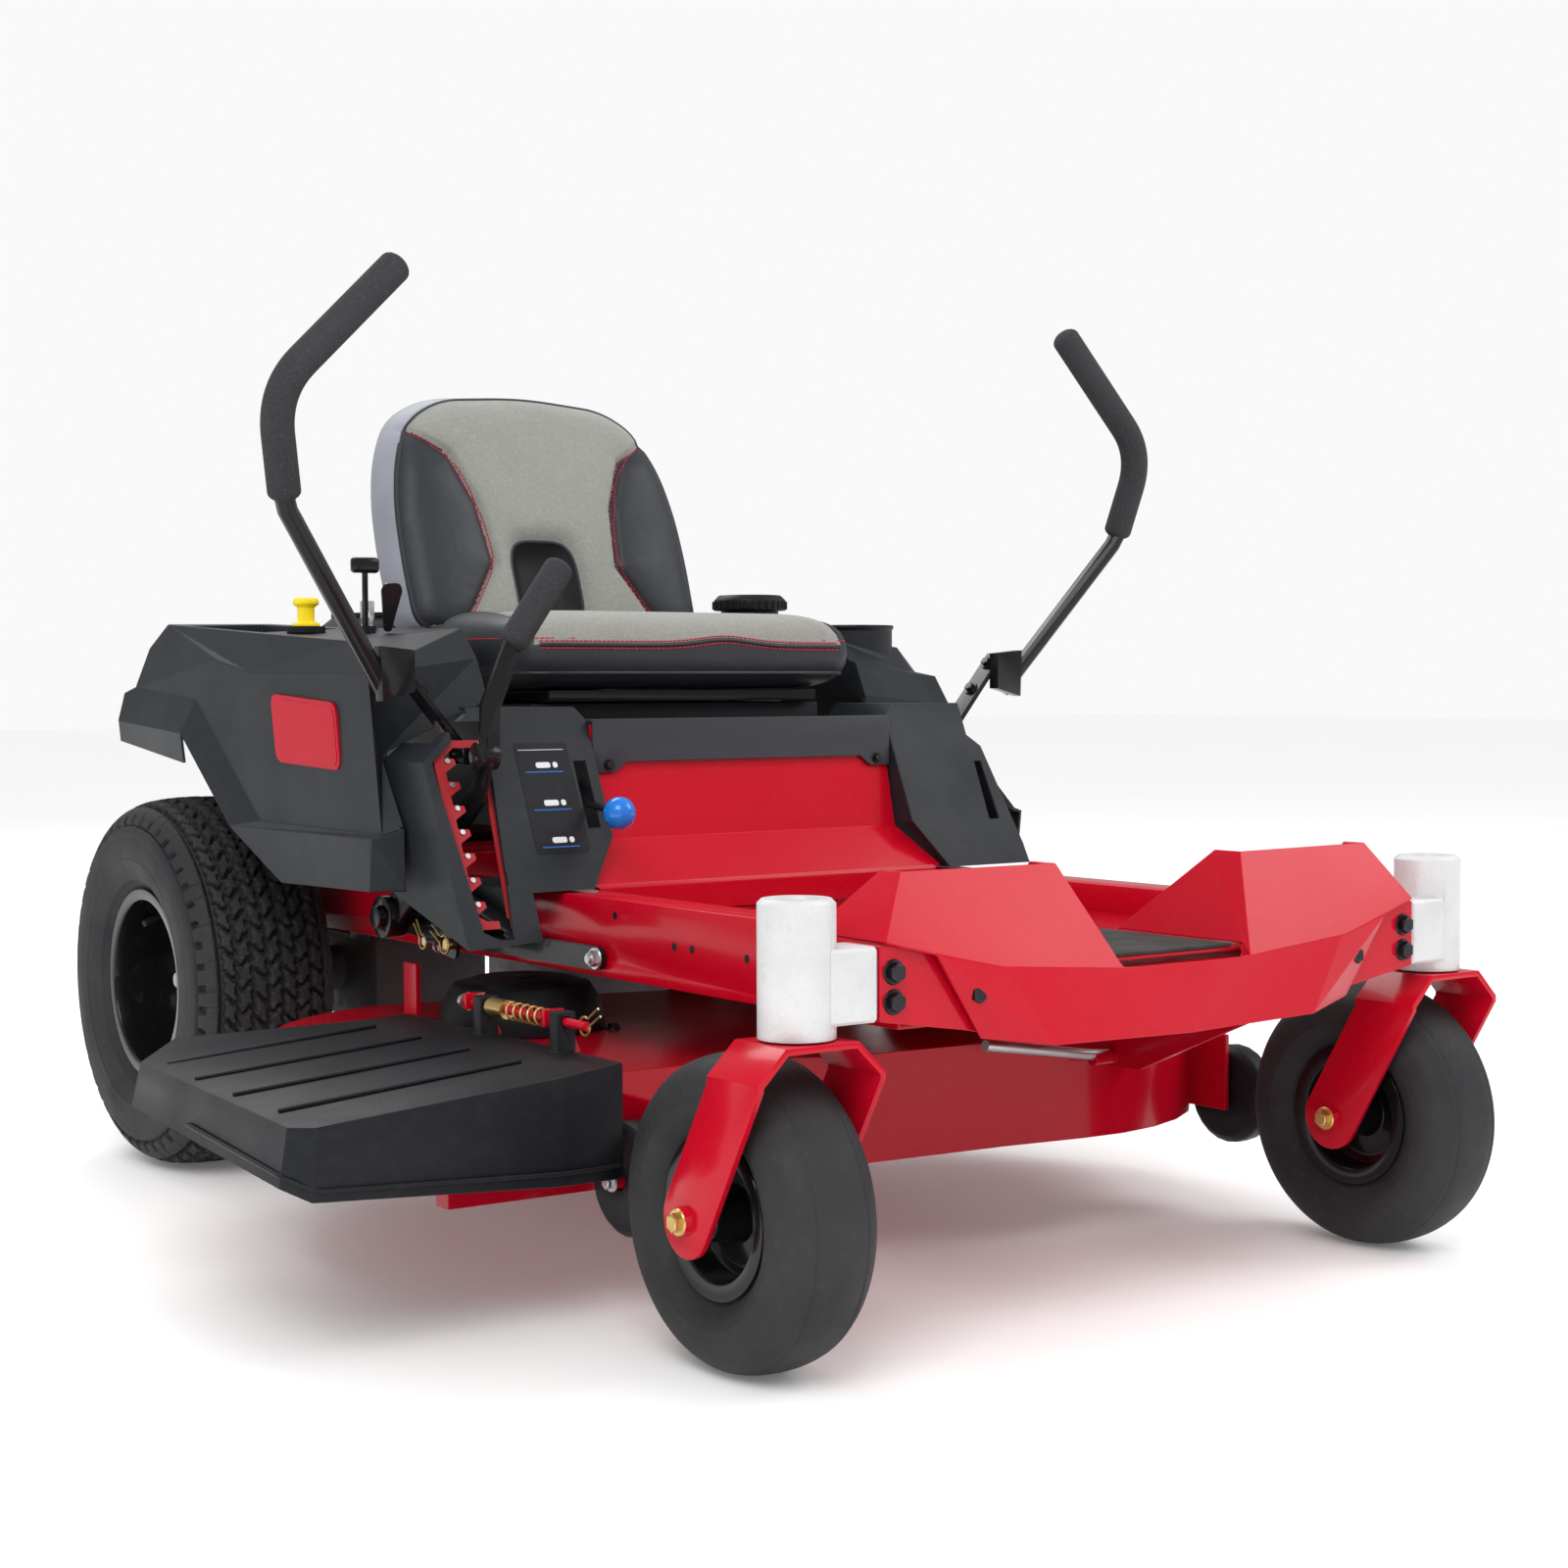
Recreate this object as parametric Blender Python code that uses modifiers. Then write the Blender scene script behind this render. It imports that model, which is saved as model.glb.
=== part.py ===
"""Zero-turn riding lawn mower: chassis, casters, drive wheels, cutting deck, seat and controls.

The machine is drawn about its own datum: X across it (its right side is -X), -Y forward,
Z up, with X = 0 on the centre plane, Y = 0 on the rear axle and Z = 0 on the ground.
Everything hangs under one empty, which puts the foot of the bounding box at the origin.
"""
import math

import bmesh
import bpy
from mathutils import Matrix, Vector

# ---------------------------------------------------------------- driving dimensions, metres
GAP = 0.0004                 # between pieces that touch
WELD = 0.00002               # merge distance
SHEET = 0.003                # sheet steel
PLASTIC = 0.0035             # moulded covers

REAR_WHEEL = dict(x=0.4111, y=0.0, z=0.2285, radius=0.2285)
CASTER_WHEEL = dict(x=0.4058, y=-1.1794, z=0.1390, radius=0.1390)
SPINDLE_Y = -1.2507          # caster spindle, ahead of the wheel it trails
HOUSING_TOP = 0.4156
HOUSING_BOTTOM = 0.2978
HOUSING_RADIUS = 0.0336

RAIL_OUT, RAIL_IN = 0.2850, 0.2350
RAIL_TOP, RAIL_BOTTOM = 0.3740, 0.2920
RAIL_REAR, RAIL_FRONT = 0.3000, -1.2355
BEAM_FRONT, BEAM_REAR = -1.2835, -1.2360
BEAM_END = 0.3425
FLOOR_Z = 0.3450             # top of the floor pan
GUARD_REAR = 0.5500

POD_TOP = 0.5705             # control pods either side of the seat
POD_LEAN = math.tan(math.radians(23.4))
POD_IN = 0.2095

SHAFT_Y, SHAFT_Z = -0.4200, 0.3350   # deck lift shaft
LEVER_PIVOT = (0.3350, -0.5490, 0.5200)
GRIP_ELBOW_X = 0.5885        # widest point of a steering lever
GRIP_RADIUS = 0.0170
SEAT_HINGE_Y, SEAT_HINGE_Z = -0.5000, 0.5680

DECK_BOTTOM, DECK_TOP = 0.1060, 0.2180
BLADE_RADIUS = 0.2580
SPINDLES = {"right": (-0.2750, -0.5650), "left": (0.2250, -0.7150)}
CHUTE_OUT = 0.7450
ROLLERS = {"right": (-0.3850, -0.9650), "left": (0.4125, -0.9750)}
HINGE_X, HINGE_Z = -0.4150, 0.2720   # discharge chute hinge

# The box that the finished machine fills, which puts its foot at the origin.
BOX_X = (-CHUTE_OUT, GRIP_ELBOW_X + GRIP_RADIUS)
BOX_Y = (CASTER_WHEEL["y"] - CASTER_WHEEL["radius"], GUARD_REAR)
ORIGIN = Vector((sum(BOX_X) / 2, sum(BOX_Y) / 2, 0.0))

COLOURS = {  # colour, roughness, metallic
    "red_paint": ((0.55, 0.006, 0.012), 0.25, 0.0),
    "black_paint": ((0.012, 0.012, 0.014), 0.30, 0.0),
    "dark_plastic": ((0.028, 0.030, 0.033), 0.50, 0.0),
    "chute_plastic": ((0.016, 0.016, 0.017), 0.55, 0.0),
    "panel_grey": ((0.055, 0.060, 0.068), 0.40, 0.2),
    "cast_silver": ((0.70, 0.71, 0.72), 0.45, 0.8),
    "cast_iron": ((0.13, 0.13, 0.14), 0.60, 0.6),
    "steel": ((0.45, 0.45, 0.46), 0.35, 1.0),
    "tyre_rubber": ((0.022, 0.023, 0.024), 0.80, 0.0),
    "foam": ((0.030, 0.030, 0.032), 0.90, 0.0),
    "mat_rubber": ((0.030, 0.030, 0.030), 0.85, 0.0),
    "seat_vinyl": ((0.045, 0.047, 0.052), 0.55, 0.0),
    "yellow_plastic": ((0.85, 0.68, 0.010), 0.40, 0.0),
    "blue_plastic": ((0.010, 0.250, 0.750), 0.25, 0.0),
    "red_plastic": ((0.60, 0.030, 0.025), 0.40, 0.0),
}

PARTS = None
ROOT = None


# ---------------------------------------------------------------- scene and materials
def clear_scene():
    for obj in list(bpy.data.objects):
        bpy.data.objects.remove(obj)


def start_collection():
    global PARTS, ROOT
    PARTS = bpy.data.collections.new("riding_lawn_mower")
    bpy.context.scene.collection.children.link(PARTS)
    ROOT = bpy.data.objects.new("datum", None)
    PARTS.objects.link(ROOT)


def material(name):
    found = bpy.data.materials.get(name)
    if found:
        return found
    colour, roughness, metallic = COLOURS[name]
    made = bpy.data.materials.new(name)
    made.use_nodes = True
    shader = made.node_tree.nodes["Principled BSDF"]
    shader.inputs["Base Color"].default_value = (*colour, 1.0)
    shader.inputs["Roughness"].default_value = roughness
    shader.inputs["Metallic"].default_value = metallic
    return made


def part(obj, name, finish, pivot=(0.0, 0.0, 0.0)):
    """Name a finished solid, with its origin at its joint, and hang it under the datum."""
    obj.data.transform(Matrix.Translation(-Vector(pivot)))
    obj.location = pivot
    obj.name = name
    obj.data.name = name
    obj.data.materials.clear()
    obj.data.materials.append(material(finish))
    obj.data.shade_smooth()
    obj.data.set_sharp_from_angle(angle=math.radians(32))
    obj.parent = ROOT
    return obj


# ---------------------------------------------------------------- solids
def bake(obj):
    """Turn an object and its modifiers into a welded mesh in the datum's coordinates."""
    bpy.context.view_layer.update()
    graph = bpy.context.evaluated_depsgraph_get()
    mesh = bpy.data.meshes.new_from_object(obj.evaluated_get(graph))
    mesh.transform(obj.matrix_world)
    shape = bmesh.new()
    shape.from_mesh(mesh)
    bmesh.ops.remove_doubles(shape, verts=shape.verts, dist=WELD)
    shape.to_mesh(mesh)
    shape.free()
    bpy.data.objects.remove(obj)
    baked = bpy.data.objects.new("solid", mesh)
    PARTS.objects.link(baked)
    return baked


def box(x, y, z):
    """Box over three (low, high) spans."""
    bpy.ops.mesh.primitive_cube_add(size=1.0)
    obj = bpy.context.object
    obj.location = [sum(span) / 2 for span in (x, y, z)]
    obj.scale = [abs(span[1] - span[0]) for span in (x, y, z)]
    return bake(obj)


def bevelled(obj, width, segments=1, angle=30):
    """Round a solid's edges."""
    modifier = obj.modifiers.new("Bevel", "BEVEL")
    modifier.width = width
    modifier.segments = segments
    modifier.limit_method = "ANGLE"
    modifier.angle_limit = math.radians(angle)
    return bake(obj)


def rod(start, end, radius, sides=20):
    """Round bar between two points."""
    start, end = Vector(start), Vector(end)
    bpy.ops.mesh.primitive_cylinder_add(vertices=sides, radius=radius, depth=(end - start).length)
    obj = bpy.context.object
    obj.rotation_mode = "QUATERNION"
    obj.rotation_quaternion = (end - start).to_track_quat("Z", "Y")
    obj.location = (start + end) / 2
    return bake(obj)


def ball(centre, radius, rings=12):
    bpy.ops.mesh.primitive_uv_sphere_add(segments=2 * rings, ring_count=rings, radius=radius)
    obj = bpy.context.object
    obj.location = centre
    return bake(obj)


AXES = {  # local X, Y and Z of a flat outline for each direction that it is extruded in
    "X": ((0, 1, 0), (0, 0, 1), (1, 0, 0)),
    "Y": ((1, 0, 0), (0, 0, 1), (0, -1, 0)),
    "Z": ((1, 0, 0), (0, 1, 0), (0, 0, 1)),
}


def outline(points, axis, span, holes=()):
    """Flat outline extruded along an axis over a (low, high) span."""
    curve = bpy.data.curves.new("outline", "CURVE")
    curve.dimensions = "2D"
    curve.fill_mode = "BOTH"
    curve.extrude = abs(span[1] - span[0]) / 2
    for loop in (points, *holes):
        spline = curve.splines.new("POLY")
        spline.points.add(len(loop) - 1)
        for point, (u, v) in zip(spline.points, loop):
            point.co = (u, v, 0.0, 1.0)
        spline.use_cyclic_u = True
    obj = bpy.data.objects.new("outline", curve)
    PARTS.objects.link(obj)
    turn = Matrix([Vector(direction) for direction in AXES[axis]]).transposed().to_4x4()
    middle = Vector(AXES[axis][2]) * (sum(span) / 2) * (-1 if axis == "Y" else 1)
    obj.matrix_world = Matrix.Translation(middle) @ turn
    return bake(obj)


def tube(points, radius, resolution=3):
    """Round tube with filled ends along a path."""
    curve = bpy.data.curves.new("tube", "CURVE")
    curve.dimensions = "3D"
    curve.bevel_depth = radius
    curve.bevel_resolution = resolution
    curve.use_fill_caps = True
    spline = curve.splines.new("POLY")
    spline.points.add(len(points) - 1)
    for point, place in zip(spline.points, points):
        point.co = (*place, 1.0)
    obj = bpy.data.objects.new("tube", curve)
    PARTS.objects.link(obj)
    return bake(obj)


def rounded(points, radius, steps=5):
    """Path through points, with each inner corner replaced by an arc."""
    points = [Vector(point) for point in points]
    path = [points[0]]
    for before, corner, after in zip(points, points[1:], points[2:]):
        back, ahead = (before - corner).normalized(), (after - corner).normalized()
        half = back.angle(ahead) / 2
        reach = radius / math.tan(half)
        centre = corner + (back + ahead).normalized() * (radius / math.sin(half))
        first, last = corner + back * reach, corner + ahead * reach
        for step in range(steps + 1):
            spoke = (first - centre).normalized().slerp((last - centre).normalized(), step / steps)
            path.append(centre + spoke * radius)
    path.append(points[-1])
    return path


def turned(profile, centre, axis="X", steps=32, closed=False):
    """Ring or disc turned from (radius, height) points that run down its outer side."""
    mesh = bpy.data.meshes.new("profile")
    count = len(profile)
    edges = [(i, i + 1) for i in range(count - 1)] + ([(count - 1, 0)] if closed else [])
    mesh.from_pydata([(radius, 0.0, height) for radius, height in profile], edges, [])
    obj = bpy.data.objects.new("turned", mesh)
    PARTS.objects.link(obj)
    screw = obj.modifiers.new("Screw", "SCREW")
    screw.steps = steps
    screw.render_steps = steps
    screw.use_merge_vertices = True
    screw.merge_threshold = WELD
    if axis == "X":
        obj.rotation_euler = (0.0, math.radians(90), 0.0)
    if axis == "Y":
        obj.rotation_euler = (math.radians(-90), 0.0, 0.0)
    obj.location = centre
    return bake(obj)


def boolean(target, tool, operation):
    """Cut, join or intersect two solids and keep the result."""
    modifier = target.modifiers.new("Boolean", "BOOLEAN")
    modifier.operation = operation
    modifier.solver = "EXACT"
    modifier.object = tool
    result = bake(target)
    bpy.data.objects.remove(tool)
    return result


def joined(first, *others):
    for other in others:
        first = boolean(first, other, "UNION")
    return first


def cut(first, *tools):
    for tool in tools:
        first = boolean(first, tool, "DIFFERENCE")
    return first


def folded(points, faces, thickness, mirror=False):
    """Folded sheet: faces join named points. The first runs counter-clockwise seen from outside."""
    shape = bmesh.new()
    corners = {name: shape.verts.new(place) for name, place in points.items()}
    made = [shape.faces.new([corners[name] for name in face.split()]) for face in faces]
    shape.normal_update()
    outward = made[0].normal.copy()
    bmesh.ops.recalc_face_normals(shape, faces=made)
    if made[0].normal.dot(outward) < 0.0:
        bmesh.ops.reverse_faces(shape, faces=made)
    bmesh.ops.delete(shape, geom=[v for v in shape.verts if not v.link_faces], context="VERTS")
    mesh = bpy.data.meshes.new("sheet")
    shape.to_mesh(mesh)
    shape.free()
    obj = bpy.data.objects.new("sheet", mesh)
    PARTS.objects.link(obj)
    if mirror:
        symmetry = obj.modifiers.new("Mirror", "MIRROR")
        symmetry.use_clip = True
        symmetry.merge_threshold = 0.0001
    solid = obj.modifiers.new("Solidify", "SOLIDIFY")
    solid.thickness = thickness
    solid.offset = -1.0
    solid.use_even_offset = True
    return bake(obj)


def other_side(obj):
    """Mirror image of a solid across the centre plane, as a new solid."""
    twin = bpy.data.objects.new("solid", obj.data.copy())
    PARTS.objects.link(twin)
    twin.data.transform(Matrix.Scale(-1.0, 4, (1.0, 0.0, 0.0)))
    twin.data.flip_normals()
    return twin


def pair(obj, name, finish, pivot=(0.0, 0.0, 0.0)):
    """A left-hand solid (+X) and its mirror image, as two parts."""
    twin = other_side(obj)
    part(obj, name + "_left", finish, pivot)
    part(twin, name + "_right", finish, (-pivot[0], pivot[1], pivot[2]))


def arc(centre, radius, start, end, steps):
    """Points on an arc, with angles in degrees."""
    angles = [math.radians(start + (end - start) * i / steps) for i in range(steps + 1)]
    return [(centre[0] + radius * math.cos(a), centre[1] + radius * math.sin(a)) for a in angles]


# ---------------------------------------------------------------- chassis
def frame_rails():
    """Rectangular tube rails, open at both ends, with a bearing hole for the lift shaft."""
    wall = 0.004
    outer = [(RAIL_IN, RAIL_BOTTOM), (RAIL_OUT, RAIL_BOTTOM), (RAIL_OUT, RAIL_TOP), (RAIL_IN, RAIL_TOP)]
    inner = [(RAIL_IN + wall, RAIL_BOTTOM + wall), (RAIL_OUT - wall, RAIL_BOTTOM + wall),
             (RAIL_OUT - wall, RAIL_TOP - wall), (RAIL_IN + wall, RAIL_TOP - wall)]
    rail = outline(outer, "Y", (RAIL_FRONT, RAIL_REAR), [inner])
    hole = rod((RAIL_IN - 0.01, SHAFT_Y, SHAFT_Z), (RAIL_OUT + 0.01, SHAFT_Y, SHAFT_Z), 0.0131)
    pair(cut(rail, hole), "frame_rail", "red_paint")


def front_beam():
    """Channel across the nose: raised at both ends, dropped in the middle under the floor."""
    half = [(0.165, 0.278), (0.250, 0.2945), (BEAM_END, 0.309),
            (BEAM_END, 0.3735), (0.250, 0.3735), (0.215, 0.336)]
    inset = [(0.160, 0.282), (0.246, 0.2985), (BEAM_END + 0.01, 0.313),
             (BEAM_END + 0.01, 0.3695), (0.252, 0.3695), (0.217, 0.332)]
    block = outline(half + [(-x, z) for x, z in reversed(half)], "Y", (BEAM_FRONT, BEAM_REAR))
    hollow = outline(inset + [(-x, z) for x, z in reversed(inset)], "Y",
                     (BEAM_FRONT + 0.004, BEAM_REAR + 0.01))
    part(joined(cut(block, hollow), *front_hanger()), "front_beam", "red_paint")


def rear_frame():
    """Engine deck plate with a rear cross wall and the hitch tab."""
    plate = box((-RAIL_OUT, RAIL_OUT), (-0.080, 0.420), (RAIL_TOP + GAP, RAIL_TOP + 0.006))
    wall = box((-0.230, 0.230), (0.300, 0.306), (0.250, RAIL_TOP + 0.002))
    tab = box((-0.060, 0.060), (0.302, 0.430), (0.252, 0.260))
    pin_hole = rod((0.0, 0.395, 0.240), (0.0, 0.395, 0.270), 0.0080, 16)
    shaft_hole = rod((0.0, 0.220, 0.360), (0.0, 0.220, 0.390), 0.0300, 24)
    part(cut(joined(plate, wall, tab), pin_hole, shaft_hole), "rear_frame", "red_paint")


def rear_guard():
    """Bent tube that guards the engine, on the ends of the rails."""
    height = 0.335
    path = [(-0.2600, RAIL_REAR + GAP, height), (-0.2600, GUARD_REAR - 0.0127, height),
            (0.2600, GUARD_REAR - 0.0127, height), (0.2600, RAIL_REAR + GAP, height)]
    part(tube(rounded(path, 0.09, 6), 0.0127), "rear_guard", "black_paint")


def floor_pan():
    front, rear = -1.2880, -0.6600
    side, narrow = RAIL_IN - 0.0008, 0.2050
    shape = [(-side, rear), (-side, BEAM_REAR + 0.001), (-narrow, BEAM_REAR + 0.001), (-narrow, front),
             (narrow, front), (narrow, BEAM_REAR + 0.001), (side, BEAM_REAR + 0.001), (side, rear)]
    part(outline(shape, "Z", (FLOOR_Z - SHEET, FLOOR_Z)), "floor_pan", "red_paint")
    mat = box((-0.0780, 0.0780), (-1.2870, -1.1150), (FLOOR_Z + GAP, FLOOR_Z + 0.004))
    part(mat, "grip_mat", "mat_rubber")


def front_panel():
    """Folded nose: bowed centre plate, raised wings either side of the step, and their gussets."""
    points = {
        "base0": (0.0, -1.3115, 0.2735), "base1": (0.1677, -1.3090, 0.2765),
        "base2": (0.2358, -1.2902, 0.2864),
        "lip0": (0.0, -1.3090, 0.3385), "lip1": (0.0816, -1.3075, 0.3385),
        "fold1": (0.2165, -1.3020, 0.3488), "fold2": (0.2883, -1.2942, 0.3635),
        "wing0": (0.1198, -1.2580, 0.4324), "wing1": (0.2998, -1.2574, 0.4333),
        "wing2": (0.3393, -1.2868, 0.3767),
        "inner1": (0.1198, -1.2250, 0.4324), "inner2": (0.0853, -1.1250, 0.3495),
        "inner3": (0.0853, -1.2930, 0.3495),
        "outer1": (0.2998, -1.2310, 0.4333), "outer2": (0.3385, -1.1810, 0.3778),
    }
    faces = ["base1 fold1 lip1 lip0 base0", "base1 fold1 fold2 base2",
             "lip1 wing0 wing1 wing2 fold2 fold1",
             "wing0 lip1 inner3 inner2 inner1", "wing1 outer1 outer2 wing2"]
    part(folded(points, faces, SHEET, mirror=True), "front_panel", "red_paint")


def riser_panel():
    """Bent sheet that closes the space under the seat, behind the driver's heels."""
    rows = [(-0.6640, 0.3463, 0.2340), (-0.6640, 0.3750, 0.2340), (-0.6620, 0.3795, 0.2435),
            (-0.6200, 0.4255, 0.2080), (-0.6035, 0.5000, 0.2080), (-0.6020, 0.5500, 0.2080)]
    points = {}
    for index, (y, z, half) in enumerate(rows):
        points[f"r{index}"] = (half, y, z)
        points[f"c{index}"] = (0.0, y, z)
    faces = [f"c{i} r{i} r{i + 1} c{i + 1}" for i in range(len(rows) - 1)]
    part(folded(points, faces, SHEET, mirror=True), "riser_panel", "red_paint")


def battery_box():
    """Closed moulded box between the fenders, stepped down under the seat's front edge."""
    side = [(-0.5600, 0.4300), (-0.5600, 0.5500), (-0.4700, 0.5500), (-0.4700, 0.5730), (-0.1100, 0.5730),
            (-0.1100, 0.4300)]
    part(outline(side, "X", (-0.2050, 0.2050)), "battery_box", "dark_plastic")


def seat_panel():
    """Grey panel under the seat's front edge, with a tab at each lower corner."""
    half = [(0.2080, 0.5565), (0.2080, 0.4980), (0.1790, 0.4980), (0.1640, 0.5090), (0.0, 0.5090)]
    shape = half + [(-x, z) for x, z in reversed(half[:-1])]
    face = outline(shape, "Y", (-0.6090, -0.6060))
    flange = box((-0.2080, 0.2080), (-0.6085, -0.5700), (0.5535, 0.5565))
    part(joined(face, flange), "seat_panel", "panel_grey")


# ---------------------------------------------------------------- casters
def caster_housings():
    """Cast spindle housing: an upright tube with an arm that plugs into the front beam."""
    centre = (CASTER_WHEEL["x"], SPINDLE_Y)
    profile = [(0.0, HOUSING_TOP - 0.006), (0.0250, HOUSING_TOP - 0.006), (0.0270, HOUSING_TOP),
               (HOUSING_RADIUS - 0.004, HOUSING_TOP), (HOUSING_RADIUS, HOUSING_TOP - 0.004),
               (HOUSING_RADIUS, HOUSING_BOTTOM), (0.0, HOUSING_BOTTOM)]
    barrel = turned(profile, (*centre, 0.0), "Z", 26)
    arm = bevelled(box((BEAM_END + 0.001, 0.395), (BEAM_FRONT, BEAM_REAR), (0.309, 0.3735)), 0.003)
    tongue = box((0.290, BEAM_END + 0.005), (BEAM_FRONT + 0.0045, BEAM_REAR - 0.002), (0.3160, 0.3690))
    bore = rod((*centre, HOUSING_BOTTOM - 0.01), (*centre, HOUSING_TOP), 0.0159, 24)
    pair(cut(joined(barrel, arm, tongue), bore), "caster_housing", "cast_silver")


def fork_strap(width):
    """Cross-section of the bent fork strap, seen from the front."""
    outside = [(-0.0665, 0.100), (-0.0665, 0.2680), (-0.0380, 0.2960), (0.0380, 0.2960),
               (0.0665, 0.2680), (0.0665, 0.100)]
    inside = [(0.0605, 0.100), (0.0605, 0.2655), (0.0355, 0.2900), (-0.0355, 0.2900),
              (-0.0605, 0.2655), (-0.0605, 0.100)]
    x = CASTER_WHEEL["x"]
    return outline([(x + dx, z) for dx, z in outside + inside], "Y", (SPINDLE_Y - width, SPINDLE_Y + width))


def caster_forks():
    """Fork: a strap bent over the wheel, with its spindle and the wheel's axle bolt."""
    x, y, z = (CASTER_WHEEL[key] for key in "xyz")
    half, end = 0.0370, 0.0330
    side = [(SPINDLE_Y - half, 0.300), (SPINDLE_Y - half, 0.262)]
    side += arc((y, z), end, 205, 385, 12)
    side += [(SPINDLE_Y + half, 0.262), (SPINDLE_Y + half, 0.300)]
    fork = boolean(fork_strap(0.16), outline(side, "X", (x - 0.1, x + 0.1)), "INTERSECT")
    spindle = rod((x, SPINDLE_Y, 0.2930), (x, SPINDLE_Y, HOUSING_TOP - 0.007), 0.0155, 24)
    axle = rod((x - 0.0690, y, z), (x + 0.0690, y, z), 0.0093, 16)
    heads = [rod((x + side_ * 0.0660, y, z), (x + side_ * 0.0735, y, z), 0.0135, 6) for side_ in (-1, 1)]
    pair(joined(fork, spindle, axle, *heads), "caster_fork", "red_paint", (x, SPINDLE_Y, 0.2930))


def tyre(wheel, outer, inner, steps):
    """Tyre with a U-shaped section, open to its rim. Sections are (distance from centre, radius)."""
    half = [(radius, offset) for offset, radius in outer]
    hollow = [(radius, offset) for offset, radius in inner]
    loop = half + [(radius, -offset) for radius, offset in reversed(half[:-1])]
    loop += [(radius, -offset) for radius, offset in hollow] + list(reversed(hollow[:-1]))
    return turned(loop, [wheel[key] for key in "xyz"], "X", steps, closed=True)


def caster_wheels():
    """Smooth ribless tyre on a deep pressed rim with a plain hub."""
    centre = [CASTER_WHEEL[key] for key in "xyz"]
    radius = CASTER_WHEEL["radius"]
    outer = [(0.0328, 0.0590), (0.0343, 0.0742), (0.0480, 0.0860), (0.0520, 0.1040), (0.0460, 0.1230),
             (0.0300, 0.1345), (0.0, radius)]
    inner = [(0.0260, 0.0590), (0.0260, 0.0780), (0.0420, 0.0980), (0.0360, 0.1200), (0.0, 0.1295)]
    pair(tyre(CASTER_WHEEL, outer, inner, 28), "caster_tyre", "tyre_rubber", centre)
    rim = [(0.0735, 0.0385), (0.0735, 0.0350), (0.0585, 0.0335), (0.0585, -0.0335), (0.0735, -0.0350),
           (0.0735, -0.0385), (0.0530, -0.0370), (0.0530, -0.0080), (0.0200, -0.0080), (0.0200, -0.0500),
           (0.0098, -0.0500), (0.0098, 0.0500), (0.0200, 0.0500), (0.0200, 0.0080), (0.0530, 0.0080),
           (0.0530, 0.0370)]
    pair(turned(rim, centre, "X", 28, closed=True), "caster_rim", "black_paint", centre)


def rear_wheels():
    """Wide turf tyre on a deep-dish rim that carries the drive hub."""
    centre = [REAR_WHEEL[key] for key in "xyz"]
    radius = REAR_WHEEL["radius"]
    outer = [(0.0690, 0.1030), (0.0704, 0.1172), (0.0870, 0.1360), (0.0925, 0.1700), (0.0850, 0.2030),
             (0.0560, 0.2220), (0.0, radius)]
    inner = [(0.0600, 0.1030), (0.0600, 0.1240), (0.0810, 0.1600), (0.0730, 0.1980), (0.0, 0.2175)]
    pair(tyre(REAR_WHEEL, outer, inner, 28), "rear_tyre", "tyre_rubber", centre)
    rim = [(0.1165, 0.0755), (0.1165, 0.0712), (0.1025, 0.0700), (0.1025, -0.0700), (0.1165, -0.0712),
           (0.1165, -0.0755), (0.0980, -0.0735), (0.0980, -0.0290), (0.0400, -0.0290),
           (0.0400, -0.0600), (0.0122, -0.0600), (0.0122, -0.0050), (0.0300, -0.0050), (0.0400, -0.0250),
           (0.0940, -0.0250), (0.0980, 0.0735)]
    pair(turned(rim, centre, "X", 28, closed=True), "rear_rim", "black_paint", centre)


# ---------------------------------------------------------------- drive
def transaxles():
    """Hydrostatic drive: a ribbed case inside the rail, an axle horn and the output shaft."""
    x, y, z = (REAR_WHEEL[key] for key in "xyz")
    case = bevelled(box((0.060, 0.225), (-0.110, 0.120), (0.165, 0.280)), 0.015, 2)
    horn = rod((0.215, y, z), (0.3400, y, z), 0.0300, 20)
    shaft = rod((0.330, y, z), (x - 0.008, y, z), 0.0118, 16)
    fan = rod((0.140, 0.040, 0.270), (0.140, 0.040, 0.345), 0.055, 20)
    foot = box((0.150, 0.225), (-0.090, -0.040), (0.270, RAIL_TOP))
    pair(joined(case, horn, shaft, fan, foot), "transaxle", "cast_iron")


def engine():
    """Upright-shaft engine behind the seat: crankcase, blower housing and muffler."""
    block = bevelled(box((-0.150, 0.150), (0.060, 0.370), (RAIL_TOP + 0.0065, 0.520)), 0.012, 1)
    crank = rod((0.0, 0.220, 0.300), (0.0, 0.220, 0.400), 0.0127, 16)
    pulley = rod((0.0, 0.220, 0.305), (0.0, 0.220, 0.345), 0.0700, 24)
    part(joined(block, crank, pulley), "engine_block", "cast_iron")
    shroud = bevelled(box((-0.175, 0.175), (0.045, 0.385), (0.5210, 0.640)), 0.030, 2)
    bowl = turned([(0.0, 0.690), (0.110, 0.690), (0.135, 0.670), (0.135, 0.610), (0.0, 0.610)],
                  (0.0, 0.215, 0.0), "Z", 32)
    part(joined(shroud, bowl), "engine_shroud", "dark_plastic")
    can = bevelled(box((-0.165, 0.165), (0.415, 0.515), (0.400, 0.500)), 0.025, 2)
    pipe = rod((0.100, 0.360, 0.450), (0.100, 0.430, 0.450), 0.014, 12)
    part(cut(joined(can, pipe), box((0.0, 0.2), (0.30, 0.372), (0.42, 0.48))), "muffler", "steel")


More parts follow.
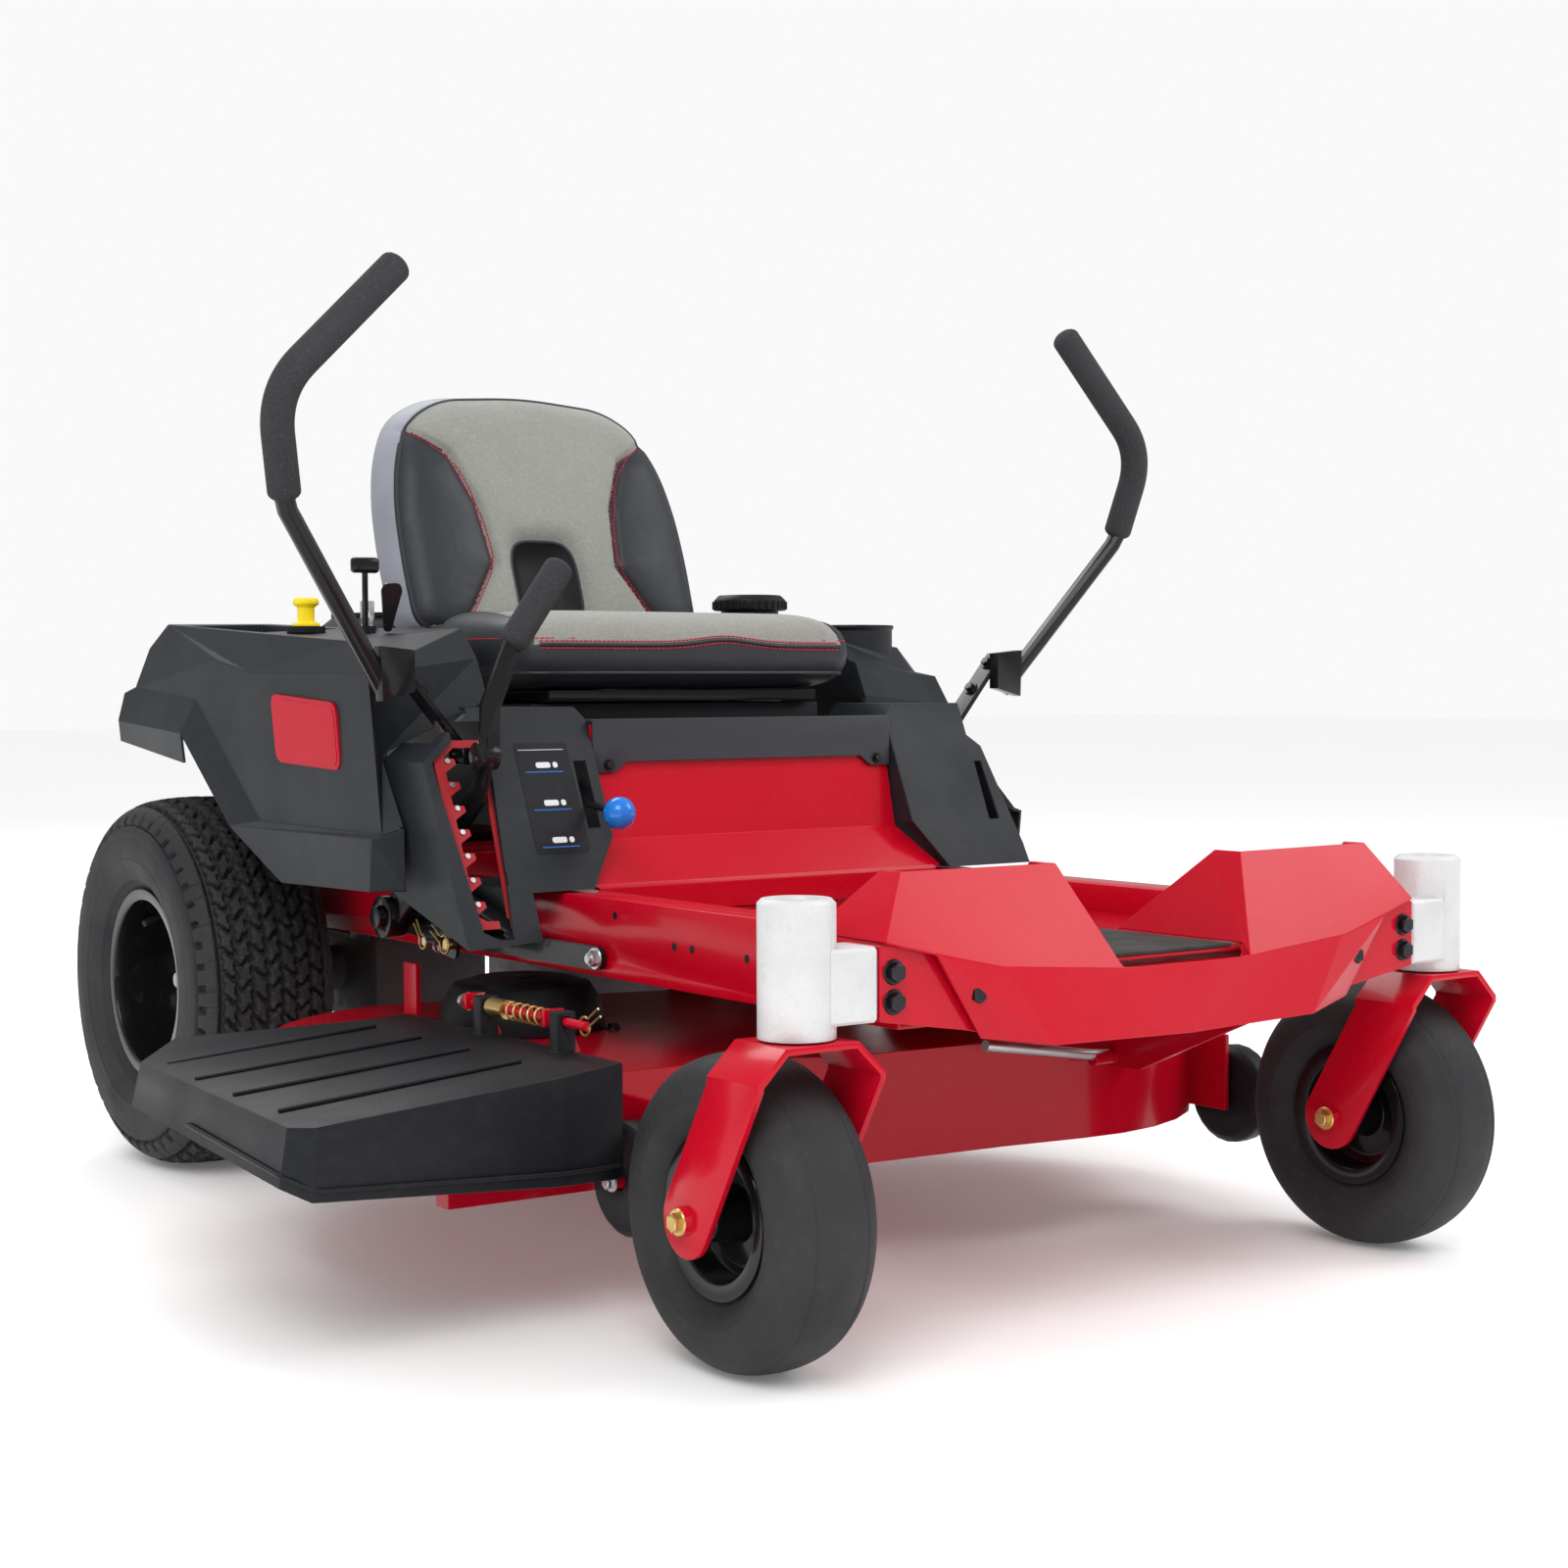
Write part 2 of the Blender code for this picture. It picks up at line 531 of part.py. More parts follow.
# ---------------------------------------------------------------- bodywork
def fender_skin(left):
    """Facets of one rear moulding. Its front end differs from side to side."""
    points = {
        "top_in": (0.28, -0.200, 0.664), "top_out": (0.42, -0.205, 0.657),
        "tail_in": (0.28, 0.069, 0.675), "tail_out": (0.42, 0.069, 0.673),
        "rim0": (0.300, -0.185, 0.6635), "rim1": (0.405, -0.190, 0.6580),
        "rim2": (0.405, 0.050, 0.6710), "rim3": (0.300, 0.050, 0.6735),
        "pit0": (0.305, -0.175, 0.605), "pit1": (0.400, -0.180, 0.605),
        "pit2": (0.400, 0.040, 0.605), "pit3": (0.305, 0.040, 0.605),
        "panel_rear": (0.440, -0.2295, 0.6095), "panel_foot": (0.444, -0.2610, 0.4390),
        "front_foot": (0.444, -0.5675, 0.4365), "shoulder": (0.440, -0.1300, 0.6255),
        "ledge0": (0.440, -0.0650, 0.5785), "ledge1": (0.440, 0.1300, 0.5940),
        "lip0": (0.458, -0.0590, 0.5370), "lip1": (0.458, 0.1450, 0.5505), "lip2": (0.445, 0.1550, 0.5865),
        "skirt0": (0.452, -0.0540, 0.5005), "skirt1": (0.452, 0.1540, 0.5245),
        "arch": (0.458, -0.2015, 0.4310), "band_front": (0.456, -0.5675, 0.4325),
        "foot0": (0.456, -0.3400, 0.3725), "foot1": (0.456, -0.5610, 0.3765),
        "heel": (0.430, 0.1065, 0.6430),
        "back9": (0.28, 0.1065, 0.6430), "back10": (0.28, 0.1300, 0.5940), "back11": (0.28, 0.1550, 0.5865),
        "back12": (0.28, 0.1450, 0.5505), "back13": (0.28, 0.1540, 0.5245),
        "wall_rear": (0.28, 0.069, 0.5850),
    }
    shared = ["top_in rim0 rim3 tail_in", "top_in top_out rim1 rim0", "top_out tail_out rim2 rim1",
              "tail_out tail_in rim3 rim2",
              "top_out panel_rear shoulder heel tail_out", "panel_rear panel_foot ledge0 shoulder",
              "shoulder ledge0 ledge1 heel", "ledge0 lip0 lip1 lip2 ledge1", "lip0 skirt0 skirt1 lip1",
              "panel_foot arch lip0 ledge0", "front_foot band_front arch panel_foot",
              "band_front foot1 foot0 arch", "tail_in tail_out heel back9", "heel ledge1 back10 back9",
              "ledge1 lip2 back11 back10", "lip2 lip1 back12 back11", "lip1 skirt1 back13 back12"]
    if left:
        shared.append("rim0 rim1 rim2 rim3")
        steps = [(0.42, -0.360, 0.6425, -0.3995, 0.6520), (0.42, -0.390, 0.6108, -0.4380, 0.6240),
                 (0.42, -0.410, 0.6060, -0.4505, 0.6210), (0.42, -0.438, 0.5688, -0.4700, 0.5800),
                 (0.42, -0.460, 0.5200, -0.4800, 0.5200)]
        for index, (x, y, z, y_in, z_in) in enumerate(steps):
            points[f"out{index}"] = (x, y, z)
            points[f"in{index}"] = (0.28, y_in, z_in)
        points["edge0"] = (0.440, -0.3750, 0.6085)
        points["edge1"] = (0.440, -0.4150, 0.6040)
        points["edge2"] = (0.440, -0.4450, 0.5650)
        points["edge3"] = (0.440, -0.4750, 0.5200)
        fronts = [f"in{i} out{i} out{i + 1} in{i + 1}" for i in range(4)]
        fronts = [" ".join(reversed(face.split())) for face in fronts]
        sides = ["out0 edge0 panel_rear top_out", "edge0 edge1 edge2 edge3 front_foot panel_foot panel_rear",
                 "out0 out1 edge0", "out1 out2 edge1 edge0", "out2 out3 edge2 edge1", "out3 out4 edge3 edge2",
                 "top_in in0 out0 top_out", "in0 top_in tail_in wall_rear in3 in2 in1"]
    else:
        shared += ["rim0 pit0 pit3 rim3", "rim1 pit1 pit0 rim0", "rim2 pit2 pit1 rim1",
                   "rim3 pit3 pit2 rim2", "pit0 pit1 pit2 pit3"]
        points.update({
            "in0": (0.28, -0.445, 0.6590), "out0": (0.42, -0.446, 0.6440),
            "in1": (0.28, -0.480, 0.6255), "out1": (0.440, -0.531, 0.6080),
            "in2": (0.28, -0.505, 0.5780), "out2": (0.420, -0.5208, 0.5202),
            "toe": (0.422, -0.577, 0.4430), "toe_foot": (0.425, -0.585, 0.3770)})
        fronts = ["in0 in1 out1 out0", "in1 in2 out2 out1", "out1 out2 toe front_foot",
                  "front_foot toe band_front", "band_front toe toe_foot foot1"]
        sides = ["out0 out1 panel_rear top_out", "out1 front_foot panel_foot panel_rear",
                 "top_in in0 out0 top_out", "in0 top_in tail_in wall_rear in2 in1"]
    return points, shared + fronts + sides


def fenders():
    for left in (True, False):
        points, faces = fender_skin(left)
        shell = folded(points, faces, PLASTIC)
        if left:
            neck = rod((0.3450, -0.1280, 0.6570), (0.3450, -0.1280, 0.6950), 0.0400, 24)
            cup = rod((0.3600, -0.3350, 0.6060), (0.3600, -0.3350, 0.6640), 0.0560, 28)
            bore = rod((0.3600, -0.3350, 0.6100), (0.3600, -0.3350, 0.6700), 0.0500, 28)
            part(cut(joined(shell, neck, cup), bore), "fender_left", "dark_plastic")
        else:
            part(other_side(shell), "fender_right", "dark_plastic")
            bpy.data.objects.remove(shell)


def pod_front(z):
    """Where the pods' sloping front face stands at a height."""
    return -0.595 - POD_LEAN * (0.560 - z)


def pod_shell(corners, back_z, back):
    """Pod: a sloping front outline carried back to an open rear edge."""
    points = {}
    for index, (x, z) in enumerate(corners):
        points[f"f{index}"] = (x, pod_front(z), z)
        points[f"b{index}"] = (x, back(x), back_z.get(index, z))
    count = len(corners)
    faces = [" ".join(f"f{i}" for i in range(count))]
    faces += [f"f{i} b{i} b{(i + 1) % count} f{(i + 1) % count}" for i in range(count)]
    return folded(points, faces, PLASTIC)


def lever_opening():
    """Space for a steering lever where it comes out of the top of its pod."""
    return box((0.3220, 0.3960), (-0.5850, -0.4400), (0.5000, 0.6000))


def pods():
    """Control pods. The right one has the height and ground-speed slots, the left one a window."""
    side = [(POD_IN, 0.4307), (0.2475, 0.3765), (0.3240, 0.3765)]
    top = [(0.2220, POD_TOP), (POD_IN, 0.5560)]
    left = pod_shell(side + [(0.3750, 0.3765), (0.3730, 0.3980), (0.3480, 0.5180), (0.3300, 0.5320),
                             (0.3300, POD_TOP)] + top, {}, lambda x: -0.485)
    pane = [(0.3300, 0.4300), (0.3450, 0.4300), (0.3410, 0.4990), (0.3310, 0.4990)]
    window = outline(pane, "Y", (-0.80, -0.50))
    part(cut(left, lever_opening(), window), "pod_left", "dark_plastic")
    right = pod_shell(side + [(0.3240, 0.3270), (0.4130, 0.3230), (0.4200, 0.5140), (0.3565, 0.5640),
                              (0.3565, POD_TOP)] + top,
                      {3: 0.3745, 4: 0.3745}, lambda x: -0.5245 + (0.42 - x) * 0.1)
    slot = [(0.4100, 0.5130), (0.3820, 0.5335), (0.3800, 0.5560), (0.3380, 0.5560), (0.3380, 0.5360),
            (0.3570, 0.3310), (0.3730, 0.3310), (0.3910, 0.3400)]
    height_slot = outline(slot, "Y", (-0.80, -0.56))
    speed_slot = box((0.2220, 0.2380), (-0.70, -0.56), (0.4400, 0.5120))
    under_slot = box((0.3500, 0.3700), (-0.670, -0.440), (0.300, 0.400))
    shell = cut(right, height_slot, under_slot, speed_slot, lever_opening())
    part(other_side(shell), "pod_right", "dark_plastic")
    bpy.data.objects.remove(shell)


def height_rack():
    """Notched plate behind the height slot, open at its foot where the lever comes down."""
    step = 0.0245
    teeth = []
    for index in range(7):
        low = 0.364 + index * step
        teeth += [(0.3920, low - 0.008), (0.3780, low), (0.3790, low + 0.006), (0.3920, low + 0.007)]
    hole = [(0.3560, 0.3500), (0.3800, 0.3500)] + teeth + [(0.3780, 0.5280), (0.3460, 0.5280)]
    outside = [(0.3520, 0.3420), (0.4000, 0.3420), (0.4040, 0.5180), (0.3830, 0.5360), (0.3400, 0.5360)]
    plate = outline(outside, "Y", (0.0, 0.004), [hole])
    plate = cut(plate, box((0.3530, 0.3670), (-0.010, 0.014), (0.330, 0.3515)))
    shear = Matrix.Identity(4)
    shear[1][2] = POD_LEAN
    plate.data.transform(shear)
    plate.data.transform(Matrix.Translation((0.0, pod_front(0.0) + 0.0060, 0.0)))
    part(other_side(plate), "height_rack", "red_plastic")
    bpy.data.objects.remove(plate)


# ---------------------------------------------------------------- seat
def seat():
    """Seat on a hinged pan: cushion, backrest and the black shell that carries them."""
    pivot = (0.0, SEAT_HINGE_Y, SEAT_HINGE_Z)
    cushion = bevelled(box((-0.250, 0.250), (-0.520, -0.110), (0.5890, 0.6720)), 0.030, 3)
    part(cushion, "seat_cushion", "seat_vinyl", pivot)
    half = [(0.0, 0.6760), (0.1900, 0.6760), (0.2100, 0.7050), (0.2170, 0.7600), (0.2120, 0.8300),
            (0.2000, 0.8850), (0.1740, 0.9350), (0.1300, 0.9620), (0.0, 0.9750)]
    back = outline(half + [(-x, z) for x, z in reversed(half[1:-1])], "Y", (-0.095, 0.0))
    shear = Matrix.Identity(4)
    shear[1][2] = 0.345
    back.data.transform(shear)
    back.data.transform(Matrix.Translation((0.0, -0.101 - 0.345 * 0.690, 0.0)))
    part(bevelled(back, 0.022, 3), "seat_backrest", "seat_vinyl", pivot)
    shell = [(-0.485, 0.5750), (-0.0600, 0.5750), (-0.0400, 0.5900), (-0.0420, 0.7200),
             (-0.0480, 0.8100), (-0.0595, 0.8100), (-0.1065, 0.6720), (-0.1000, 0.5883), (-0.485, 0.5883)]
    pan = outline(shell, "X", (-0.1900, 0.1900))
    sides = [box((s * 0.1200, s * 0.2000), (-0.1150, 0.0100), (0.6000, 0.8300)) for s in (-1, 1)]
    part(cut(pan, *sides), "seat_shell", "black_paint", pivot)


# ---------------------------------------------------------------- cutting deck
def deck_outline(inset):
    """Plan of the deck round both blades; its right-hand end is the discharge mouth."""
    reach = BLADE_RADIUS + 0.0120 - inset
    left, right = SPINDLES["left"], SPINDLES["right"]
    front = [(-0.5400 + inset, -0.8850 + inset), (-0.2000, -0.9000 + inset), (-0.1200, -0.9450 + inset),
             (0.0800, -0.9650 + inset)]
    rear = arc(right, reach, 95, 150, 7) + [(-0.5350 + inset, -0.5000), (-0.5400 + inset, -0.5600)]
    return front + arc(left, reach, -100, 60, 14) + rear


def deck():
    """Cutting deck shell: a top plate with a deep skirt, open below and at the discharge."""
    wall = 0.003
    body = outline(deck_outline(0.0), "Z", (DECK_BOTTOM, DECK_TOP))
    hollow = outline(deck_outline(wall), "Z", (DECK_BOTTOM - 0.01, DECK_TOP - wall))
    mouth = box((-0.60, -0.500), (-0.860, -0.540), (DECK_BOTTOM - 0.01, DECK_TOP - wall))
    bores = [rod((x, y, DECK_TOP - 0.02), (x, y, DECK_TOP + 0.01), 0.0200, 20) for x, y in SPINDLES.values()]
    shell = cut(body, hollow, mouth, *bores)
    tabs = [box((x - 0.003, x + 0.003), (y - 0.015, y + 0.015), (DECK_TOP - 0.002, 0.285))
            for x, y in ((-0.352, -0.455), (0.352, -0.525))]
    part(joined(shell, *tabs, *scalp_brackets()), "deck_shell", "red_paint")


def spindles():
    """Blade spindles: pulley above the deck, shaft through it and the blade below."""
    for side, (x, y) in SPINDLES.items():
        shaft = rod((x, y, 0.118), (x, y, 0.2600), 0.0125, 16)
        pulley = turned([(0.0, 0.2550), (0.0650, 0.2550), (0.0520, 0.2450), (0.0650, 0.2350), (0.0, 0.2350)],
                        (x, y, 0.0), "Z", 24)
        turn = 1 if side == "left" else -1
        blade = [(-0.028, -BLADE_RADIUS + 0.012), (0.028, -BLADE_RADIUS + 0.012),
                 (0.028, BLADE_RADIUS - 0.012), (-0.028, BLADE_RADIUS - 0.012)]
        flat = outline([(x + turn * u, y + v) for u, v in blade], "Z", (0.122, 0.128))
        boss = rod((x, y, 0.1270), (x, y, 0.150), 0.0280, 20)
        part(joined(shaft, pulley, flat, boss), f"blade_spindle_{side}", "steel", (x, y, 0.125))


def belt_covers():
    """Moulded domes over the spindle pulleys."""
    for side, (x, y) in SPINDLES.items():
        profile = [(0.0, 0.2750), (0.0500, 0.2750), (0.0760, 0.2680), (0.0880, 0.2480),
                   (0.0930, DECK_TOP + GAP), (0.0895, DECK_TOP + GAP), (0.0845, 0.2470), (0.0735, 0.2645),
                   (0.0490, 0.2715), (0.0, 0.2715)]
        part(turned(profile, (x, y, 0.0), "Z", 20), f"belt_cover_{side}", "dark_plastic")


def discharge_chute():
    """Hinged rubber deflector over the discharge mouth."""
    out = -CHUTE_OUT
    points = {
        "in_rear": (-0.4100, -0.5600, 0.2445), "mid_rear": (-0.4600, -0.5450, 0.2400),
        "cor_rear": (-0.6300, -0.4550, 0.2255), "out_rear": (-0.7050, -0.5500, 0.2190),
        "out_front": (-0.7370, -0.9650, 0.2170), "bend_out": (-0.7200, -0.9850, 0.2180),
        "bend_mid": (-0.4850, -0.9930, 0.2380), "bend_in": (-0.4100, -0.9850, 0.2445),
        "rear0": (-0.4600, -0.5450, 0.2265), "rear1": (-0.6330, -0.4530, 0.2135),
        "hem_rear": (-0.7140, -0.5480, 0.1750), "hem_front": (out, -0.9650, 0.1650),
        "toe_out": (-0.7250, -0.9880, 0.1540), "toe_mid": (-0.4850, -0.9960, 0.1390),
        "toe_in": (-0.4100, -0.9850, 0.1360),
    }
    faces = ["in_rear mid_rear cor_rear out_rear out_front bend_out bend_mid bend_in",
             "mid_rear rear0 rear1 cor_rear", "cor_rear rear1 hem_rear out_rear",
             "out_rear hem_rear hem_front out_front", "out_front hem_front toe_out bend_out",
             "bend_out toe_out toe_mid bend_mid", "bend_mid toe_mid toe_in bend_in"]
    sheet = folded(points, faces, 0.005)
    lugs = [box((HINGE_X - 0.010, HINGE_X + 0.010), (y - 0.008, y + 0.008), (0.2428, HINGE_Z + 0.010))
            for y in (-0.735, -0.885)]
    bores = [rod((HINGE_X, y - 0.02, HINGE_Z), (HINGE_X, y + 0.02, HINGE_Z), 0.0052, 12)
             for y in (-0.735, -0.885)]
    part(cut(joined(sheet, *lugs), *bores), "discharge_chute", "chute_plastic", (HINGE_X, -0.81, HINGE_Z))


def chute_rod():
    """Hinge rod on two lugs that stand on the deck."""
    bar = rod((HINGE_X, -0.930, HINGE_Z), (HINGE_X, -0.695, HINGE_Z), 0.0048, 12)
    foot = DECK_TOP + GAP
    lugs = [outline([(-0.3950, foot), (-0.3850, foot), (-0.3850, 0.2400), (-0.4030, HINGE_Z + 0.010),
                     (-0.4250, HINGE_Z + 0.010), (-0.4250, HINGE_Z - 0.006), (-0.4020, HINGE_Z - 0.008)],
                    "Y", (y - 0.003, y + 0.003)) for y in (-0.710, -0.865)]
    part(joined(bar, *lugs), "chute_rod", "red_paint")


def scalp_wheels():
    """Anti-scalp rollers on the front corners of the deck."""
    for side, (x, y) in ROLLERS.items():
        profile = [(0.0470, 0.0175), (0.0550, 0.0100), (0.0550, -0.0100), (0.0470, -0.0175),
                   (0.0085, -0.0175), (0.0085, 0.0175)]
        part(turned(profile, (x, y, 0.130), "X", 24, closed=True), f"scalp_wheel_{side}", "chute_plastic",
             (x, y, 0.130))


def scalp_brackets():
    """Arms and axle bolts that carry the rollers on the deck."""
    solids = []
    for x, y in ROLLERS.values():
        inner = x - 0.0250 if x > 0 else x + 0.0250
        solids.append(rod((inner, y, 0.130), (2 * x - inner, y, 0.130), 0.0078, 12))
        solids.append(box((inner - 0.003, inner + 0.003), (y - 0.014, y + 0.110), (0.115, 0.200)))
    return solids


def front_hanger():
    """Bracket and pin below the front beam that steady the nose of the deck."""
    side = [(-1.2700, 0.2850), (-1.2450, 0.2850), (-1.0000, 0.2150), (-0.9850, 0.1850), (-1.0400, 0.1850)]
    plate = outline(side, "X", (0.2000, 0.2060))
    pin = rod((0.1700, -1.0000, 0.1950), (0.2300, -1.0000, 0.1950), 0.0080, 12)
    return [plate, pin]


# ---------------------------------------------------------------- controls
def steering_levers():
    """Lap-bar levers: a base that rocks fore and aft, an arm that swings out, and a foam grip."""
    x, y, z = LEVER_PIVOT
    trunnion = rod((0.2350, y, z), (0.3120, y, z), 0.0110, 16)
    yoke = box((0.3050, 0.3190), (y - 0.0190, y + 0.0190), (z - 0.0110, z + 0.0110))
    ears = [box((0.3100, 0.3450), (y + s * 0.0155, y + s * 0.0190), (z - 0.0110, z + 0.0110)) for s in (-1, 1)]
    pair(joined(trunnion, yoke, *ears), "lever_base", "black_paint", LEVER_PIVOT)

    direction = Vector((0.0738, 0.0, 0.0873)).normalized()
    across = Vector((direction.z, 0.0, -direction.x)) * 0.003
    foot, head = Vector((x, 0.0, z)), Vector((x, 0.0, z)) + direction * 0.1450
    corners = [foot - across, foot + across, head + across, head - across]
    blade = outline([(corner.x, corner.z) for corner in corners], "Y", (y - 0.0138, y + 0.0138))
    barrel = rod((x, y - 0.0138, z), (x, y + 0.0138, z), 0.0090, 16)
    bracket = outline([(0.4080, 0.5880), (0.4460, 0.5780), (0.4480, 0.6360), (0.4080, 0.6320)], "Y",
                      (y - 0.0280, y - 0.0120))
    path = [(0.4313, -0.5573, 0.5850), (0.5685, -0.6145, 0.7703), (0.5820, -0.6250, 0.8050)]
    stem = tube(path, 0.0105, 2)
    pair(joined(blade, barrel, bracket, stem), "lever_arm", "black_paint", LEVER_PIVOT)

    grip = rounded([(0.5720, -0.6170, 0.7790), (0.5940, -0.6400, 0.8860), (0.4543, -0.6439, 1.0265)], 0.060, 7)
    sleeve = tube(grip, GRIP_RADIUS, 3)
    socket = tube([(0.5600, -0.6110, 0.7588), path[1], path[2], (0.5834, -0.6262, 0.8086)], 0.0108, 2)
    pair(cut(sleeve, socket), "lever_grip", "foam", LEVER_PIVOT)


def height_lever():
    """Cutting-height lever on the lift shaft, out through the right pod's slot."""
    x = -0.3600
    pivot = (0.0, SHAFT_Y, SHAFT_Z)
    side = [(SHAFT_Y - 0.010, SHAFT_Z - 0.016), (-0.6350, 0.4700), (-0.6530, 0.5100), (-0.6530, 0.5400),
            (-0.6360, 0.5400), (-0.6200, 0.4930), (SHAFT_Y + 0.004, SHAFT_Z + 0.018)]
    lower = outline(side, "X", (x - 0.003, x + 0.003))
    hub = rod((x - 0.011, -0.6400, 0.5200), (x + 0.011, -0.6400, 0.5200), 0.0150, 20)
    upper = outline([(-0.3710, 0.5150), (-0.3490, 0.5150), (-0.3470, 0.5700), (-0.3160, 0.6440),
                     (-0.3330, 0.6560), (-0.3690, 0.5750)], "Y", (-0.6510, -0.6450))
    collar = rod((x - 0.012, SHAFT_Y, SHAFT_Z), (x + 0.012, SHAFT_Y, SHAFT_Z), 0.0240, 20)
    core = rod((-0.3280, -0.6480, 0.6420), (-0.2900, -0.6500, 0.7000), 0.0070, 12)
    bore = rod((x - 0.02, SHAFT_Y, SHAFT_Z), (x + 0.02, SHAFT_Y, SHAFT_Z), 0.0131, 16)
    lever = cut(joined(lower, hub, upper, collar, core), bore)
    part(lever, "height_lever", "black_paint", pivot)
    grip = rod((-0.3330, -0.6478, 0.6350), (-0.2700, -0.6510, 0.7255), 0.0160, 16)
    socket = rod((-0.3372, -0.6475, 0.6280), (-0.2880, -0.6501, 0.7030), 0.0074, 12)
    clear = outline([(-0.3730, 0.5150), (-0.3470, 0.5150), (-0.3440, 0.5700), (-0.3120, 0.6460),
                     (-0.3330, 0.6600), (-0.3720, 0.5750)], "Y", (-0.6516, -0.6444))
    part(cut(grip, socket, clear), "height_grip", "foam", pivot)


def lift_shaft():
    """Cross shaft through both rails, with an arm each side that lifts the deck."""
    shaft = rod((-0.3800, SHAFT_Y, SHAFT_Z), (0.3800, SHAFT_Y, SHAFT_Z), 0.0127, 16)
    arms = []
    for x in (-0.3280, 0.3280):
        shape = [(SHAFT_Y + 0.022, SHAFT_Z - 0.022), (SHAFT_Y + 0.022, SHAFT_Z + 0.022),
                 (SHAFT_Y - 0.060, SHAFT_Z + 0.020), (SHAFT_Y - 0.130, SHAFT_Z - 0.005),
                 (SHAFT_Y - 0.130, SHAFT_Z - 0.030)]
        arms.append(outline(shape, "X", (x - 0.003, x + 0.003)))
    part(joined(shaft, *arms), "lift_shaft", "black_paint", (0.0, SHAFT_Y, SHAFT_Z))


def speed_lever():
    """Ground-speed lever with its ball, through the narrow slot in the right pod."""
    pivot = (-0.2300, -0.5450, 0.4760)
    stem = rod((-0.2300, -0.5450, 0.4760), (-0.2300, -0.6830, 0.4597), 0.0040, 12)
    hub = rod((-0.2400, -0.5450, 0.4760), (-0.2170, -0.5450, 0.4760), 0.0100, 12)
    part(joined(stem, hub), "speed_lever", "black_paint", pivot)
    knob = ball((-0.2300, -0.6970, 0.4580), 0.0180, 7)
    socket = rod((-0.2300, -0.5450, 0.4760), (-0.2300, -0.6840, 0.4596), 0.0044, 12)
    part(cut(knob, socket), "speed_knob", "blue_plastic", pivot)


def console_controls():
    """Blade switch, choke and key on the right moulding, and the fuel cap on the left."""
    x, y = -0.3800, -0.2514
    knob = turned([(0.0, 0.6970), (0.0130, 0.6970), (0.0152, 0.6940), (0.0152, 0.6900), (0.0100, 0.6860),
                   (0.0100, 0.6700), (0.0160, 0.6670), (0.0160, 0.6590), (0.0, 0.6590)], (x, y, 0.0), "Z", 20)
    part(knob, "blade_switch", "yellow_plastic", (x, y, 0.6590))
    x, y = -0.3450, -0.3350
    stem = rod((x, y, 0.6585), (x, y, 0.7260), 0.0035, 12)
    cap = bevelled(box((x - 0.017, x + 0.017), (y - 0.006, y + 0.006), (0.7240, 0.7420)), 0.004, 2)
    part(joined(stem, cap), "choke_knob", "black_paint", (x, y, 0.6585))
    x, y = -0.3200, -0.2900
    bow = bevelled(box((x - 0.009, x + 0.009), (y - 0.0012, y + 0.0012), (0.6720, 0.6940)), 0.0008)
    collar = rod((x, y, 0.6615), (x, y, 0.6740), 0.0070, 14)
    part(joined(bow, collar), "ignition_key", "steel", (x, y, 0.6650))
    x, y = 0.3450, -0.1280
    cap = turned([(0.0, 0.7170), (0.0430, 0.7170), (0.0500, 0.7100), (0.0500, 0.6960), (0.0, 0.6960)],
                 (x, y, 0.0), "Z", 28)
    part(cap, "fuel_cap", "dark_plastic", (x, y, 0.6960))


def main():
    clear_scene()
    start_collection()
    for build in (frame_rails, front_beam, rear_frame, rear_guard, floor_pan, front_panel, riser_panel,
                  battery_box, seat_panel, caster_housings, caster_forks, caster_wheels, rear_wheels,
                  transaxles, engine, fenders, pods, height_rack, seat, deck, spindles, belt_covers,
                  discharge_chute, chute_rod, scalp_wheels, steering_levers, height_lever, lift_shaft,
                  speed_lever, console_controls):
        build()
    ROOT.location = -ORIGIN


main()
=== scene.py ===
"""Looks of the zero-turn riding mower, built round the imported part.

Lengths are in metres. Pieces are laid out from the middle of the rear axle at ground level, the
way the part is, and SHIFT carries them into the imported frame.
"""

import math

import bmesh
import bpy
import numpy as np
from mathutils import Matrix, Vector


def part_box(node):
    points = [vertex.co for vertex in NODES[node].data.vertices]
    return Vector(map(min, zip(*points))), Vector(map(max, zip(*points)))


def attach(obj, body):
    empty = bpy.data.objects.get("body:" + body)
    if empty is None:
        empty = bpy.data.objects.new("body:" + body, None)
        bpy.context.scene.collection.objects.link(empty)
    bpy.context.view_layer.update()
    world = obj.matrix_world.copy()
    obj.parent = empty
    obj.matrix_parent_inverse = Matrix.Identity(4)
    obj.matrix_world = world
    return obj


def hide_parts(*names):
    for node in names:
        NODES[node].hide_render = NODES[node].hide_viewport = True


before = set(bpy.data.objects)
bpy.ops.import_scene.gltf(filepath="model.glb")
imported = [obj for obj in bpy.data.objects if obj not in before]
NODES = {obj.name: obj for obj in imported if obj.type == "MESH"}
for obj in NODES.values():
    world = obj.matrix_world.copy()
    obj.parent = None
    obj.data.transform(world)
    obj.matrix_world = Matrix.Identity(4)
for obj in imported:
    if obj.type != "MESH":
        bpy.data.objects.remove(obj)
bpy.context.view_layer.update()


def middle(node):
    """Middle of a node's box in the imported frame."""
    low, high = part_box(node)
    return (Vector(low) + Vector(high)) / 2


AXLE = (middle("rear_tyre_left") + middle("rear_tyre_right")) / 2
SHIFT = Vector((AXLE.x, AXLE.y, 0.0))
LEFT_RIGHT = (("left", 1), ("right", -1))
RIGHT_LEFT = LEFT_RIGHT[::-1]


def at(node):
    """Middle of a node's box in the part's own layout, to a tenth of a millimetre."""
    return tuple(round(value, 4) for value in middle(node) - SHIFT)


